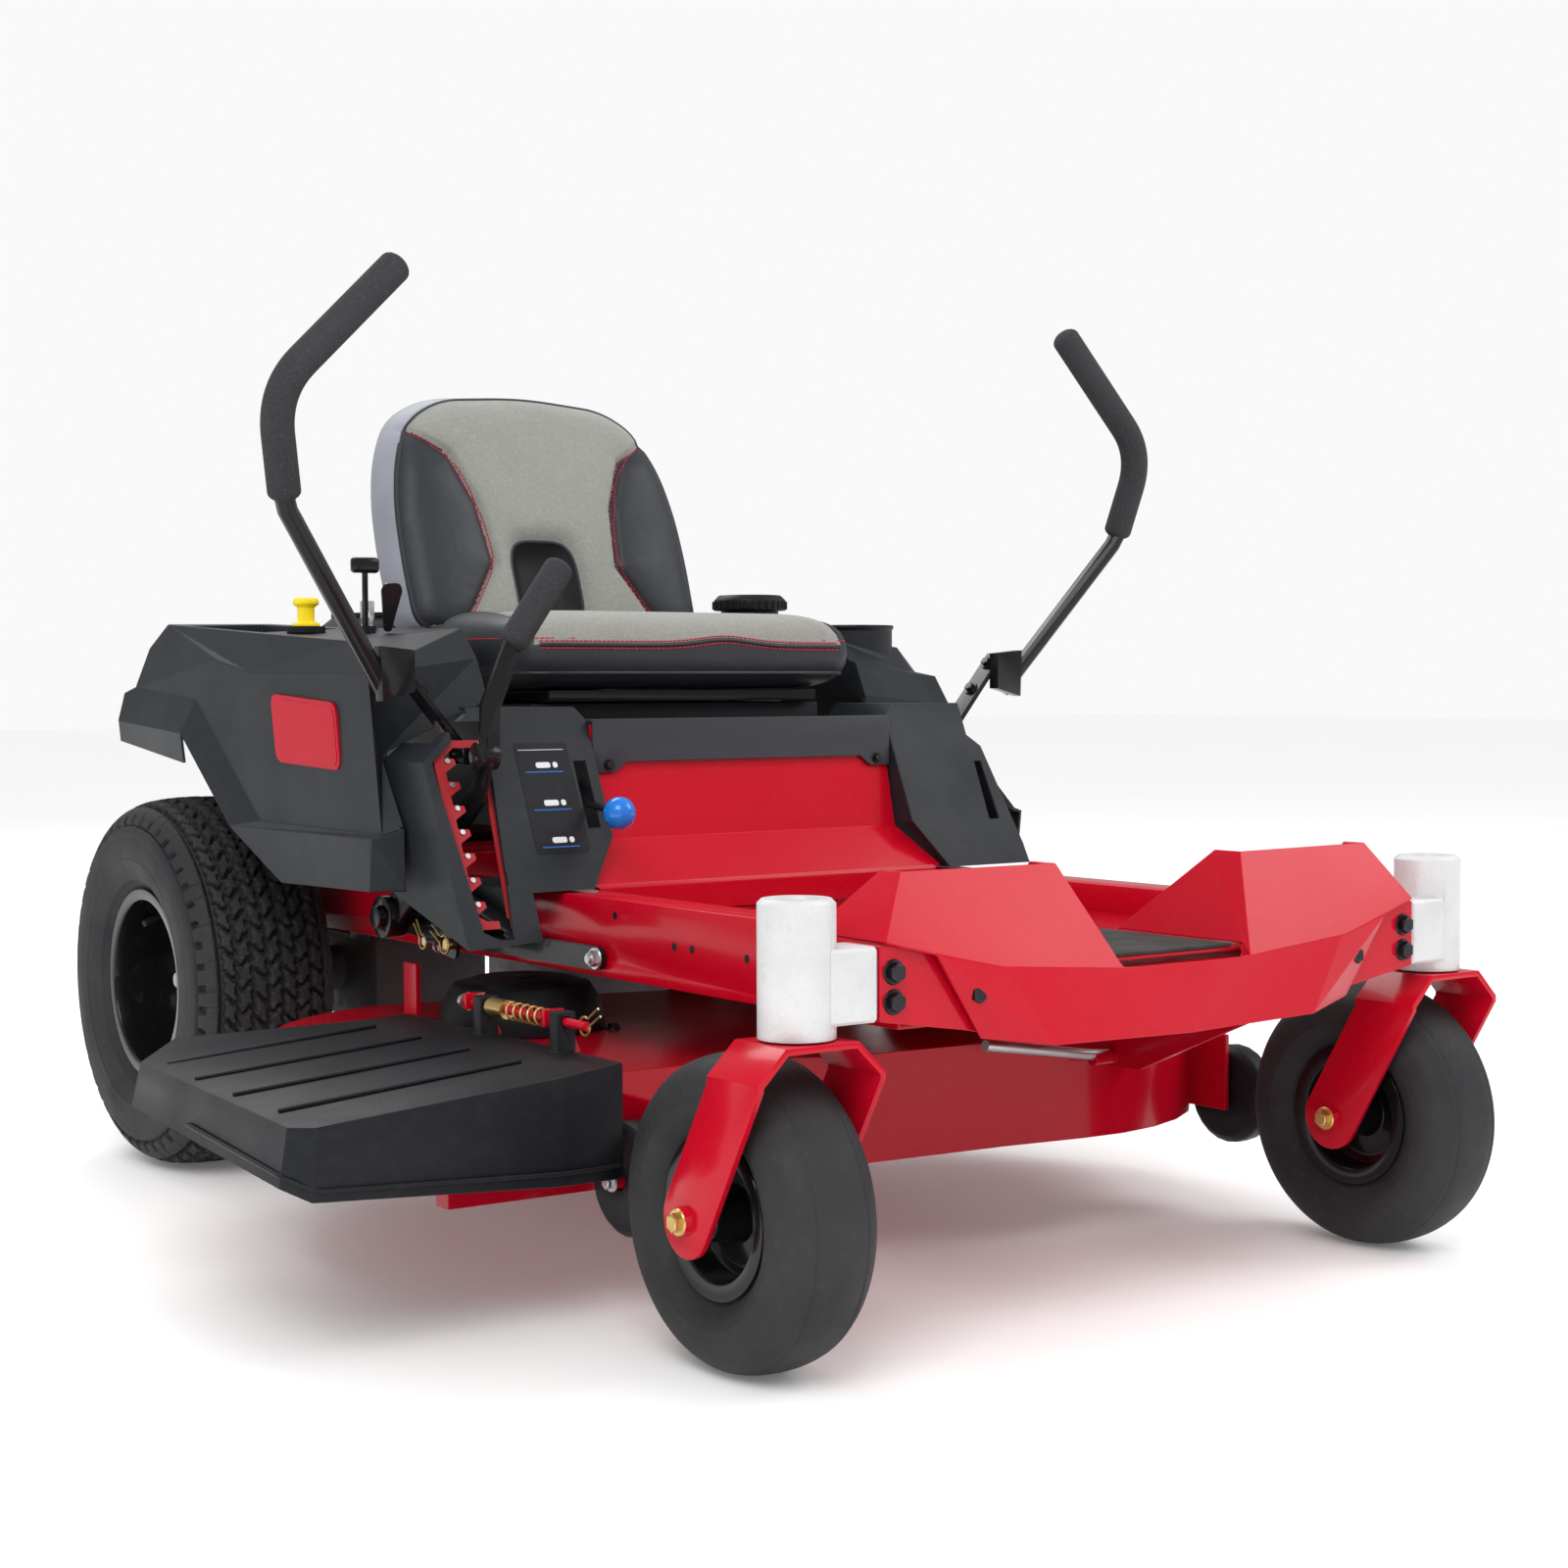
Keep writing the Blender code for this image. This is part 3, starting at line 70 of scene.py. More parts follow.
# ---- materials
class Shader:
    """A Principled material with helpers for the noise that breaks it up."""

    def __init__(self, name, colour, roughness, metallic=0.0, coat=0.0, specular=0.5):
        self.material = bpy.data.materials.new(name)
        self.material.use_nodes = True
        self.tree = self.material.node_tree
        self.main = self.tree.nodes["Principled BSDF"]
        self.feed(self.main, {"Metallic": metallic, "Coat Weight": coat, "Coat Roughness": 0.06,
                              "Specular IOR Level": specular})
        self.colour = self.constant("ShaderNodeRGB", (*colour, 1.0))
        self.roughness = self.constant("ShaderNodeValue", roughness)
        self.height = None
        self.place = self.node("ShaderNodeTexCoord").outputs["Object"]

    def feed(self, node, inputs):
        """Link or set a node's inputs."""
        for key, item in inputs.items():
            if isinstance(item, bpy.types.NodeSocket):
                self.tree.links.new(item, node.inputs[key])
            else:
                node.inputs[key].default_value = item

    def node(self, kind, inputs=None, **settings):
        made = self.tree.nodes.new(kind)
        for key, value in settings.items():
            setattr(made, key, value)
        self.feed(made, inputs or {})
        return made

    def constant(self, kind, value):
        output = self.node(kind).outputs[0]
        output.default_value = value
        return output

    def ramp(self, value, low, high):
        """Stretch a value so that low becomes 0 and high becomes 1."""
        inputs = {"From Min": low, "From Max": high, "Value": value}
        return self.node("ShaderNodeMapRange", inputs).outputs[0]

    def noise(self, scale, detail=3.0, low=0.35, high=0.65, stretch=None):
        """Noise between 0 and 1, with its contrast stretched between low and high."""
        place = self.place
        if stretch:
            place = self.node("ShaderNodeMapping", {"Scale": stretch, "Vector": place}).outputs["Vector"]
        made = self.node("ShaderNodeTexNoise", {"Scale": scale, "Detail": detail, "Vector": place})
        return self.ramp(made.outputs[0], low, high)

    def cells(self, scale):
        """Pebbled cells, each rising from 0 at its middle."""
        made = self.node("ShaderNodeTexVoronoi", {"Scale": scale, "Vector": self.place})
        return self.ramp(made.outputs["Distance"], 0.0, 0.7)

    def waves(self, axis, scale, distortion=0.0):
        inputs = {"Scale": scale, "Distortion": distortion, "Detail": 1.0, "Vector": self.place}
        return self.node("ShaderNodeTexWave", inputs, bands_direction=axis).outputs["Fac"]

    def maths(self, operation, first, second):
        return self.node("ShaderNodeMath", {0: first, 1: second}, operation=operation).outputs[0]

    def tint(self, mask, colour, amount):
        """Mix a colour in where the mask is high."""
        inputs = {0: self.maths("MULTIPLY", mask, amount), 6: self.colour, 7: (*colour, 1.0)}
        self.colour = self.node("ShaderNodeMix", inputs, data_type="RGBA").outputs[2]
        return self

    def rough(self, mask, amount):
        self.roughness = self.maths("ADD", self.roughness, self.maths("MULTIPLY", mask, amount))
        return self

    def bump(self, mask, distance):
        step = self.maths("MULTIPLY", mask, distance)
        self.height = step if self.height is None else self.maths("ADD", self.height, step)
        return self

    def done(self):
        self.feed(self.main, {"Base Color": self.colour, "Roughness": self.roughness})
        if self.height is not None:
            bump = self.node("ShaderNodeBump", {"Strength": 1.0, "Distance": 1.0, "Height": self.height})
            self.feed(self.main, {"Normal": bump.outputs["Normal"]})
        return self.material


def paint(name, colour, roughness=0.22, coat=0.22, dust=0.02):
    """Powder coat: orange peel, faint dust and uneven gloss."""
    made = Shader(name, colour, roughness, coat=coat, specular=0.18)
    made.tint(made.noise(3.0, 4.0), [c * 0.8 for c in colour], 0.3)
    made.tint(made.noise(130.0, 6.0, 0.56, 0.8), (0.4, 0.36, 0.32), dust)
    made.rough(made.noise(14.0, 4.0), 0.05)
    return made.bump(made.noise(420.0, 2.0, 0.2, 0.8), 0.00003).done()


def plastic(name, colour, roughness=0.45, grain=900.0, depth=0.00005):
    """Moulded plastic with a fine leather-like grain."""
    made = Shader(name, colour, roughness, specular=0.22)
    made.tint(made.noise(5.0, 4.0), [c * 1.3 for c in colour], 0.4)
    made.tint(made.noise(60.0, 5.0, 0.5, 0.85), (0.16, 0.155, 0.15), 0.04)
    made.rough(made.noise(9.0, 3.0), 0.1)
    made.bump(made.cells(grain), depth)
    return made.bump(made.noise(grain * 0.4, 3.0, 0.2, 0.8), depth).done()


def rubber(name, colour, roughness=0.7, depth=0.0001):
    """Tyre rubber: dry bloom, dust and a fine matt grain."""
    made = Shader(name, colour, roughness, specular=0.4)
    made.tint(made.noise(6.0, 5.0, 0.4, 0.75), (0.045, 0.043, 0.04), 0.35)
    made.tint(made.noise(90.0, 4.0, 0.55, 0.8), (0.08, 0.076, 0.07), 0.15)
    made.rough(made.noise(20.0, 4.0), 0.12)
    return made.bump(made.noise(520.0, 5.0, 0.2, 0.8), depth).done()


def metal(name, colour, roughness, stretch=None, depth=0.00003, patch=0.15):
    """Plated metal with cloudy patches."""
    made = Shader(name, colour, roughness, metallic=1.0)
    made.tint(made.noise(25.0, 5.0), [c * 0.6 for c in colour], patch * 2)
    made.rough(made.noise(60.0, 4.0, stretch=stretch), patch)
    return made.bump(made.noise(700.0, 3.0, 0.2, 0.8, stretch), depth).done()


def cast(name, colour, roughness=0.5, metallic=0.35, depth=0.00028):
    """Sand-cast metal with soft pits."""
    made = Shader(name, colour, roughness, metallic)
    made.tint(made.noise(16.0, 6.0, 0.42, 0.7), [c * 0.78 for c in colour], 0.5)
    made.tint(made.noise(220.0, 3.0, 0.56, 0.7), [c * 0.6 for c in colour], 0.15)
    made.rough(made.noise(50.0, 4.0), 0.15)
    made.bump(made.noise(260.0, 5.0, 0.25, 0.75), depth)
    return made.bump(made.noise(60.0, 3.0), depth).done()


def weave(name, colour, dark):
    """Knitted seat fabric: crossed ribs, lint and slow shading."""
    made = Shader(name, colour, 0.92)
    across = made.waves("X", 330.0, 0.6)
    along = made.waves("Z", 330.0, 0.6)
    deep = made.waves("Y", 330.0, 0.6)
    threads = made.maths("MULTIPLY", made.maths("ADD", across, 0.15), made.maths("ADD", along, 0.15))
    threads = made.maths("ADD", threads, made.maths("MULTIPLY", deep, 0.3))
    made.tint(made.maths("SUBTRACT", 1.0, threads), dark, 0.4)
    made.tint(made.noise(9.0, 5.0), dark, 0.25)
    made.tint(made.noise(240.0, 3.0, 0.45, 0.75), [c * 1.35 for c in colour], 0.35)
    made.feed(made.main, {"Sheen Weight": 0.25})
    return made.bump(threads, 0.0003).bump(made.noise(300.0, 4.0), 0.00012).done()


def vinyl(name, colour, roughness=0.42):
    """Seat vinyl with a pebbled grain and soft wrinkles."""
    made = Shader(name, colour, roughness, specular=0.4)
    made.tint(made.noise(7.0, 4.0), [c * 1.5 for c in colour], 0.45)
    made.rough(made.noise(16.0, 4.0), 0.1)
    made.bump(made.cells(520.0), 0.00009)
    return made.bump(made.noise(45.0, 4.0), 0.0003).done()


def foam(name, colour):
    """Open-celled foam sleeve."""
    made = Shader(name, colour, 0.92)
    made.tint(made.noise(420.0, 3.0, 0.5, 0.75), [c * 3.0 for c in colour], 0.5)
    made.tint(made.noise(12.0, 4.0), [c * 1.6 for c in colour], 0.4)
    return made.bump(made.noise(650.0, 4.0, 0.3, 0.7), 0.0003).done()


def ribbed(name, colour):
    """Ribbed mat rubber with trodden-in dust."""
    made = Shader(name, colour, 0.8)
    made.tint(made.noise(30.0, 5.0), (0.07, 0.065, 0.06), 0.5)
    made.bump(made.waves("X", 55.0), 0.0012)
    return made.bump(made.noise(500.0, 4.0), 0.0001).done()


def pale_floor():
    """Studio floor with a faint glow, so that it meets the white background."""
    made = Shader("studio_floor", (0.93, 0.93, 0.925), 0.8)
    made.feed(made.main, {"Emission Color": (1.0, 1.0, 1.0, 1.0), "Emission Strength": 0.09})
    return made.tint(made.noise(1.5, 3.0), (0.9, 0.9, 0.9), 0.5).done()


RED = paint("red_powder_coat", (0.48, 0.002, 0.015), 0.17, 0.1)
BLACK = paint("black_powder_coat", (0.008, 0.008, 0.009), 0.26, dust=0.01)
RIM = paint("rim_black", (0.006, 0.006, 0.007), 0.2, 0.35, 0.01)
PLASTIC = plastic("charcoal_plastic", (0.015, 0.0175, 0.0215), 0.4)
TANK = plastic("tank_plastic", (0.008, 0.009, 0.011), 0.45)
CHUTE = plastic("chute_plastic", (0.009, 0.01, 0.0125), 0.42, 500.0, 0.00012)
PANEL = paint("satin_grey", (0.04, 0.045, 0.054), 0.38, 0.1, 0.02)
CAST = cast("cast_aluminium", (0.63, 0.63, 0.64), 0.45, 0.15, 0.00022)
IRON = cast("cast_iron", (0.1, 0.1, 0.105), 0.6)
STEEL = metal("zinc_steel", (0.62, 0.62, 0.63), 0.28)
DARK_STEEL = metal("black_oxide", (0.05, 0.05, 0.055), 0.38)
GOLD = metal("yellow_zinc", (0.72, 0.52, 0.2), 0.3)
CHROME = metal("chrome", (0.85, 0.85, 0.86), 0.1, depth=0.00001, patch=0.04)
TYRE = rubber("tyre_rubber", (0.014, 0.015, 0.0175), 0.62)
FOAM = foam("grip_foam", (0.022, 0.023, 0.026))
MAT = ribbed("mat_rubber", (0.024, 0.024, 0.025))
FABRIC = weave("seat_fabric", (0.3, 0.3, 0.275), (0.17, 0.17, 0.158))
VINYL = vinyl("seat_vinyl", (0.019, 0.021, 0.027))
# Darker copy of the seat vinyl for the backrest's recess: painted shade in the pit.
SHADED_RECESS_VINYL = vinyl("recess_vinyl_painted_shade", (0.006, 0.0065, 0.008), 0.6)
SIDE = vinyl("seat_side_vinyl", (0.215, 0.225, 0.26), 0.5)
THREAD = foam("red_thread", (0.36, 0.01, 0.03))
YELLOW = plastic("yellow_knob", (0.8, 0.6, 0.01), 0.35, 700.0, 0.00002)
BLUE = paint("blue_knob", (0.008, 0.17, 0.62), 0.2, 0.8, 0.02)
RACK = paint("red_rack", (0.33, 0.016, 0.022), 0.45, 0.0)
BADGE = paint("red_badge", (0.47, 0.0025, 0.018), 0.35, 0.0, 0.02)
MARK = plastic("white_mark", (0.62, 0.64, 0.66), 0.5)
BLUE_MARK = plastic("blue_mark", (0.02, 0.12, 0.42), 0.5)
FLOOR = pale_floor()


# ---- building
def put(obj, body, finish=None, smooth=35):
    """Give a finished piece its finish and let it ride on a body."""
    if finish is not None:
        obj.data.materials.clear()
        obj.data.materials.append(finish)
    obj.data.shade_smooth()
    obj.data.set_sharp_from_angle(angle=math.radians(smooth))
    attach(obj, body)
    return obj


def from_bmesh(shape, name):
    """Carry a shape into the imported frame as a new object."""
    shape.transform(Matrix.Translation(SHIFT))
    bmesh.ops.recalc_face_normals(shape, faces=shape.faces)
    mesh = bpy.data.meshes.new(name)
    shape.to_mesh(mesh)
    shape.free()
    obj = bpy.data.objects.new(name, mesh)
    bpy.context.collection.objects.link(obj)
    return obj


def grid(points, name, around=True, along=False):
    """Surface through a 2D array of points, closed in either direction if asked."""
    rows, columns = points.shape[:2]
    corner = np.arange(rows * columns).reshape(rows, columns)
    if around:
        corner = np.concatenate([corner, corner[:, :1]], axis=1)
    if along:
        corner = np.concatenate([corner, corner[:1]], axis=0)
    faces = np.stack([corner[:-1, :-1], corner[:-1, 1:], corner[1:, 1:], corner[1:, :-1]], axis=-1)
    mesh = bpy.data.meshes.new(name)
    places = points.reshape(-1, 3) + np.array(SHIFT)
    mesh.from_pydata(places.tolist(), [], faces.reshape(-1, 4).tolist())
    obj = bpy.data.objects.new(name, mesh)
    bpy.context.collection.objects.link(obj)
    shape = bmesh.new()
    shape.from_mesh(mesh)
    bmesh.ops.remove_doubles(shape, verts=shape.verts, dist=0.000005)
    bmesh.ops.recalc_face_normals(shape, faces=shape.faces)
    shape.to_mesh(mesh)
    shape.free()
    return obj


def turned(profile, centre, axis, name, steps=96, closed=True):
    """Turn (radius, height) points about X, Y or Z through a centre."""
    turn = np.linspace(0.0, 2 * math.pi, steps, endpoint=False)
    radius = np.array([p[0] for p in profile])[:, None]
    height = np.array([p[1] for p in profile])[:, None]
    u = radius * np.cos(turn)[None, :]
    v = radius * np.sin(turn)[None, :]
    h = height + 0.0 * u
    order = {"X": (h, u, v), "Y": (u, h, v), "Z": (u, v, h)}[axis]
    return grid(np.stack(order, axis=-1) + np.array(centre), name, True, closed)


def softened(points, radius=0.002, steps=3, closed=True):
    """Round the corners of a flat outline."""
    result = []
    count = len(points)
    for index, point in enumerate(points):
        corner = Vector(point)
        if not closed and index in (0, count - 1):
            result.append(tuple(corner))
            continue
        back = Vector(points[index - 1]) - corner
        ahead = Vector(points[(index + 1) % count]) - corner
        reach = min(radius, back.length * 0.45, ahead.length * 0.45)
        first, last = corner + back.normalized() * reach, corner + ahead.normalized() * reach
        for step in range(steps + 1):
            t = step / steps
            result.append(tuple(first * (1 - t) ** 2 + corner * 2 * t * (1 - t) + last * t * t))
    return result


def tube(points, radius, name, sides=16, smooth=0.02, steps=8, round_ends=False):
    """Round tube along a path whose corners are eased."""
    path = softened(points, smooth, steps, closed=False) if len(points) > 2 else points
    path = [Vector(p) for p in path]
    radii = [radius] * len(path)
    if round_ends:
        start, end = path[0], path[-1]
        head, tail = (path[1] - start).normalized(), (path[-2] - end).normalized()
        caps = [(1 - math.cos(a), math.sin(a)) for a in np.linspace(0.15, math.pi / 2, 6)]
        path = [start + head * radius * 0.6 * c for c, _ in caps] + path[1:-1] + \
               [end + tail * radius * 0.6 * c for c, _ in reversed(caps)]
        ends = [radius * share for _, share in caps]
        radii = ends + [radius] * (len(path) - 2 * len(caps)) + ends[::-1]
    shape = bmesh.new()
    rings = []
    side = None
    angles = [2 * math.pi * i / sides for i in range(sides)]
    for index, place in enumerate(path):
        ahead = path[min(index + 1, len(path) - 1)] - path[max(index - 1, 0)]
        ahead.normalize()
        if side is None:
            side = ahead.orthogonal().normalized()
        side = (side - ahead * side.dot(ahead)).normalized()
        other = ahead.cross(side)
        rings.append([shape.verts.new(place + (side * math.cos(a) + other * math.sin(a)) * radii[index])
                      for a in angles])
    for first, second in zip(rings, rings[1:]):
        for i in range(sides):
            j = (i + 1) % sides
            shape.faces.new((first[i], first[j], second[j], second[i]))
    shape.faces.new(rings[0])
    shape.faces.new(rings[-1])
    return from_bmesh(shape, name)


def rod(start, end, radius, name, sides=24, bevel=0.0006):
    """Round bar with eased ends."""
    start, end = Vector(start), Vector(end)
    shape = bmesh.new()
    length = (end - start).length
    bmesh.ops.create_cone(shape, cap_ends=True, segments=sides, radius1=radius, radius2=radius,
                          depth=length)
    if bevel:
        rims = [e for e in shape.edges if abs(e.verts[0].co.z - e.verts[1].co.z) < 1e-6]
        bmesh.ops.bevel(shape, geom=rims, offset=bevel, segments=2, affect="EDGES")
    turn = (end - start).to_track_quat("Z", "Y").to_matrix().to_4x4()
    shape.transform(Matrix.Translation((start + end) / 2) @ turn)
    return from_bmesh(shape, name)


def block(x, y, z, name, bevel=0.001, turn=None):
    """Box over three spans with rounded edges, optionally turned about its middle."""
    shape = bmesh.new()
    bmesh.ops.create_cube(shape, size=1.0)
    spans = (x, y, z)
    shape.transform(Matrix.Diagonal([abs(s[1] - s[0]) for s in spans] + [1.0]))
    if bevel:
        bmesh.ops.bevel(shape, geom=list(shape.edges), offset=bevel, segments=2, affect="EDGES")
    if turn is not None:
        shape.transform(turn.to_4x4())
    shape.transform(Matrix.Translation([sum(s) / 2 for s in spans]))
    return from_bmesh(shape, name)


PLANES = {"X": lambda u, v, w: (w, u, v), "Y": lambda u, v, w: (u, w, v)}


def prism(low, high):
    """Closed shape between two matching outlines, and its two end faces."""
    shape = bmesh.new()
    low = [shape.verts.new(place) for place in low]
    high = [shape.verts.new(place) for place in high]
    ends = [shape.faces.new(low), shape.faces.new(high)]
    for i in range(len(low)):
        j = (i + 1) % len(low)
        shape.faces.new((low[i], low[j], high[j], high[i]))
    return shape, ends


def plate(points, axis, span, name, bevel=0.0006, turn=None):
    """Flat outline with thickness along an axis and eased edges."""
    place = PLANES[axis]
    shape, faces = prism(*([place(u, v, w) for u, v in points] for w in span))
    bmesh.ops.recalc_face_normals(shape, faces=shape.faces)
    if bevel:
        rims = [e for face in faces for e in face.edges]
        bmesh.ops.bevel(shape, geom=rims, offset=bevel, segments=2, affect="EDGES")
    if turn is not None:
        shape.transform(turn)
    return from_bmesh(shape, name)


def bolt(place, direction, body, finish=None, size=0.0085, flange=0.0115, height=0.0055):
    """Hex flange bolt head seated on a surface."""
    place, direction = Vector(place), Vector(direction).normalized()
    shape = bmesh.new()
    for sides, low, high, depth, lift in ((28, flange, flange * 0.93, 0.0018, 0.0009),
                                          (6, size, size, height, 0.0018 + height / 2),
                                          (24, size * 0.86, size * 0.72, 0.0008, 0.0022 + height)):
        bmesh.ops.create_cone(shape, cap_ends=True, segments=sides, radius1=low, radius2=high, depth=depth,
                              matrix=Matrix.Translation((0, 0, lift)))
    turn = direction.to_track_quat("Z", "Y").to_matrix().to_4x4()
    shape.transform(Matrix.Translation(place) @ turn)
    return put(from_bmesh(shape, "bolt"), body, finish or DARK_STEEL, 25)


def arc(centre, radius, start, end, steps):
    """Points round an arc, with its ends in degrees."""
    angles = [math.radians(start + (end - start) * i / steps) for i in range(steps + 1)]
    return [(centre[0] + radius * math.cos(a), centre[1] + radius * math.sin(a)) for a in angles]


def spring(centre, radius, rise, angle, count, wire, name):
    """Coil spring that runs forward from its centre, rise metres for each radian of its angle."""
    x, y, z = centre
    coil = [(x + radius * math.cos(t), y - rise * t, z + radius * math.sin(t))
            for t in np.linspace(0, angle, count)]
    return tube(coil, wire, name, 8, 0.0001, 1)


def run_length(points):
    """Distance along a line of points, from its start to each of them."""
    return np.concatenate([[0], np.cumsum(np.linalg.norm(np.diff(points, axis=0), axis=1))])


def dressed(node, finish, bevel, segments, angle):
    """A CAD node that keeps its shape: rounded edges over the angle, and a real finish."""
    obj = NODES[node]
    obj.data.materials.clear()
    obj.data.materials.append(finish)
    weld = obj.modifiers.new("Weld", "WELD")
    weld.merge_threshold = 0.00002
    if bevel:
        rounding = obj.modifiers.new("Bevel", "BEVEL")
        rounding.width = bevel
        rounding.segments = segments
        rounding.limit_method = "ANGLE"
        rounding.angle_limit = math.radians(angle)
        rounding.harden_normals = node not in FOLDS
    obj.data.shade_smooth()
    if node in FOLDS:
        flats = obj.modifiers.new("Flats", "WEIGHTED_NORMAL")
        flats.weight = 100
        flats.keep_sharp = False
    else:
        obj.data.set_sharp_from_angle(angle=math.radians(angle))


# ---- wheels
def fine(profile, spacing=0.004):
    """Points along a rounded profile, evenly spaced."""
    points = np.array(softened(profile, 0.02, 5, closed=False))
    lengths = run_length(points)
    count = max(int(lengths[-1] / spacing), 8)
    t = np.linspace(0, lengths[-1], count)
    return np.stack([np.interp(t, lengths, points[:, i]) for i in (0, 1)], axis=1)


def mirrored(half):
    """Whole tyre section from the half that starts at its middle."""
    return [(r, -h) for r, h in reversed(half)] + half[1:]


def ring(radius, place, width, height):
    """Raised moulding ring on a sidewall, as a height for each radius."""
    return height * np.exp(-((radius - place) / width) ** 2)


def rear_tyre(side):
    """Turf tyre: interlocking wavy blocks, wrapped shoulder lugs and a ringed sidewall."""
    blocks, row, groove = 50, 0.0188, 0.008
    middle_half, shoulder_start, slope = 0.066, 0.0672, 0.0016
    half = [(0.2285, 0.0), (0.2275, 0.03), (0.2235, 0.058), (0.213, 0.078), (0.196, 0.0885), (0.17, 0.0925),
            (0.148, 0.09), (0.13, 0.0825), (0.12, 0.0725), (0.118, 0.07), (0.1045, 0.069)]
    line = fine(mirrored(half), 0.0019)
    turn = np.linspace(0, 2 * math.pi, 720, endpoint=False)[None, :]
    radius, offset = line[:, 0][:, None], line[:, 1][:, None]
    tangent = np.gradient(line, axis=0)
    tangent /= np.linalg.norm(tangent, axis=1)[:, None]
    out_radius, out_offset = tangent[:, 1][:, None], -tangent[:, 0][:, None]
    pitch = 2 * math.pi / blocks

    def from_lug(phase):
        return np.abs(phase - np.round(phase))

    number = np.round(offset / row)
    local = offset / row - number
    wavy = 0.16 * np.sin(local * 2 * math.pi) * np.where(number % 2 == 0, 1, -1)
    phase = turn / pitch + 0.5 * (number % 2) + wavy
    edge = (0.5 - from_lug(phase) - 0.085) * pitch * 0.2285
    side_edge = (0.5 - np.abs(local)) * row - 0.0011 - 0.0012 * (1 + np.cos(phase * 4 * math.pi))
    centre_rows = np.clip(np.minimum(edge, side_edge) / slope, 0, 1)

    beyond = np.abs(offset) - shoulder_start
    phase = turn / pitch + 0.5 * (offset > 0)
    edge = (0.5 - from_lug(phase) - 0.11) * pitch * 0.22
    long_lugs = np.clip(np.minimum(edge, np.minimum(beyond, radius - 0.196)) / 0.0018, 0, 1)
    edge = (0.5 - from_lug(phase + 0.5) - 0.3) * pitch * 0.22
    short_lugs = np.clip(np.minimum(edge, np.minimum(beyond, radius - 0.206)) / slope, 0, 1)

    lug = np.where(np.abs(offset) < middle_half, centre_rows, np.maximum(long_lugs, short_lugs))
    tread = np.clip((radius - 0.193) / 0.004, 0, 1)
    rings = ring(radius, 0.152, 0.0015, 0.0009) + ring(radius, 0.1285, 0.002, 0.0012)
    rings += ring(radius, 0.185, 0.0012, 0.0007)
    out = np.where(radius < 0.19, rings, 0.0) - groove * tread * (1 - lug)
    r = radius + out_radius * out
    h = offset + out_offset * out
    points = np.stack([h + 0 * turn, r * np.cos(turn), r * np.sin(turn)], axis=-1)
    return grid(points + np.array(at(f"rear_tyre_{side}")), f"rear_tread_{side}", True, False)


def stand_in(made, node):
    """Let a finished piece take a CAD node's place, by hiding the node."""
    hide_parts(node)


def rim(centre, profile, name):
    """Wheel dish turned about its axle."""
    return turned(softened(profile, 0.0022, 3), centre, "X", name)


def rear_wheel(side, s):
    """Drive wheel: tyre, dished rim, hub washer, axle nut, wheel bolts and valve."""
    body = f"drive_wheel_{side}"
    stand_in(put(rear_tyre(side), body, TYRE, 50), f"rear_tyre_{side}")
    x, _, axle = at(f"rear_tyre_{side}")
    profile = [(0.1165, 0.075), (0.115, 0.07), (0.1045, 0.0688), (0.102, 0.04), (0.103, -0.03),
               (0.1045, -0.0688), (0.115, -0.07), (0.1165, -0.075), (0.101, -0.0735), (0.0985, -0.025),
               (0.094, -0.018), (0.07, -0.023), (0.06, -0.015), (0.043, -0.011), (0.04, -0.03),
               (0.0125, -0.03), (0.0125, 0.008), (0.032, 0.008), (0.04, 0.0), (0.056, -0.005),
               (0.066, -0.005), (0.074, -0.015), (0.09, -0.012), (0.095, -0.004), (0.0985, 0.022),
               (0.099, 0.055), (0.102, 0.0735)]
    dish = rim((x, 0.0, axle), [(r, s * h) for r, h in profile], f"rear_dish_{side}")
    stand_in(put(dish, body, RIM, 30), f"rear_rim_{side}")
    for start, end, radius, name, sides, finish, smooth in (
            (0.008, 0.013, 0.024, "hub_washer", 24, STEEL, 35),
            (0.013, 0.025, 0.0165, "axle_nut", 6, GOLD, 25),
            (0.025, 0.033, 0.009, "axle_end", 24, STEEL, 35)):
        put(rod((x + s * start, 0, axle), (x + s * end, 0, axle), radius, name, sides), body, finish, smooth)

    def round_axle(out, radius, angle):
        return x + s * out, radius * math.cos(angle), axle + radius * math.sin(angle)

    for i in range(5):
        angle = 2 * math.pi * (i + 0.3) / 5
        bolt(round_axle(-0.001, 0.048, angle), (s, 0, 0), body, DARK_STEEL, 0.0075, 0.01)
    put(tube([round_axle(0.03, 0.096, 0.9), round_axle(0.052, 0.086, 0.9)], 0.004, "valve", 12), body, TYRE)


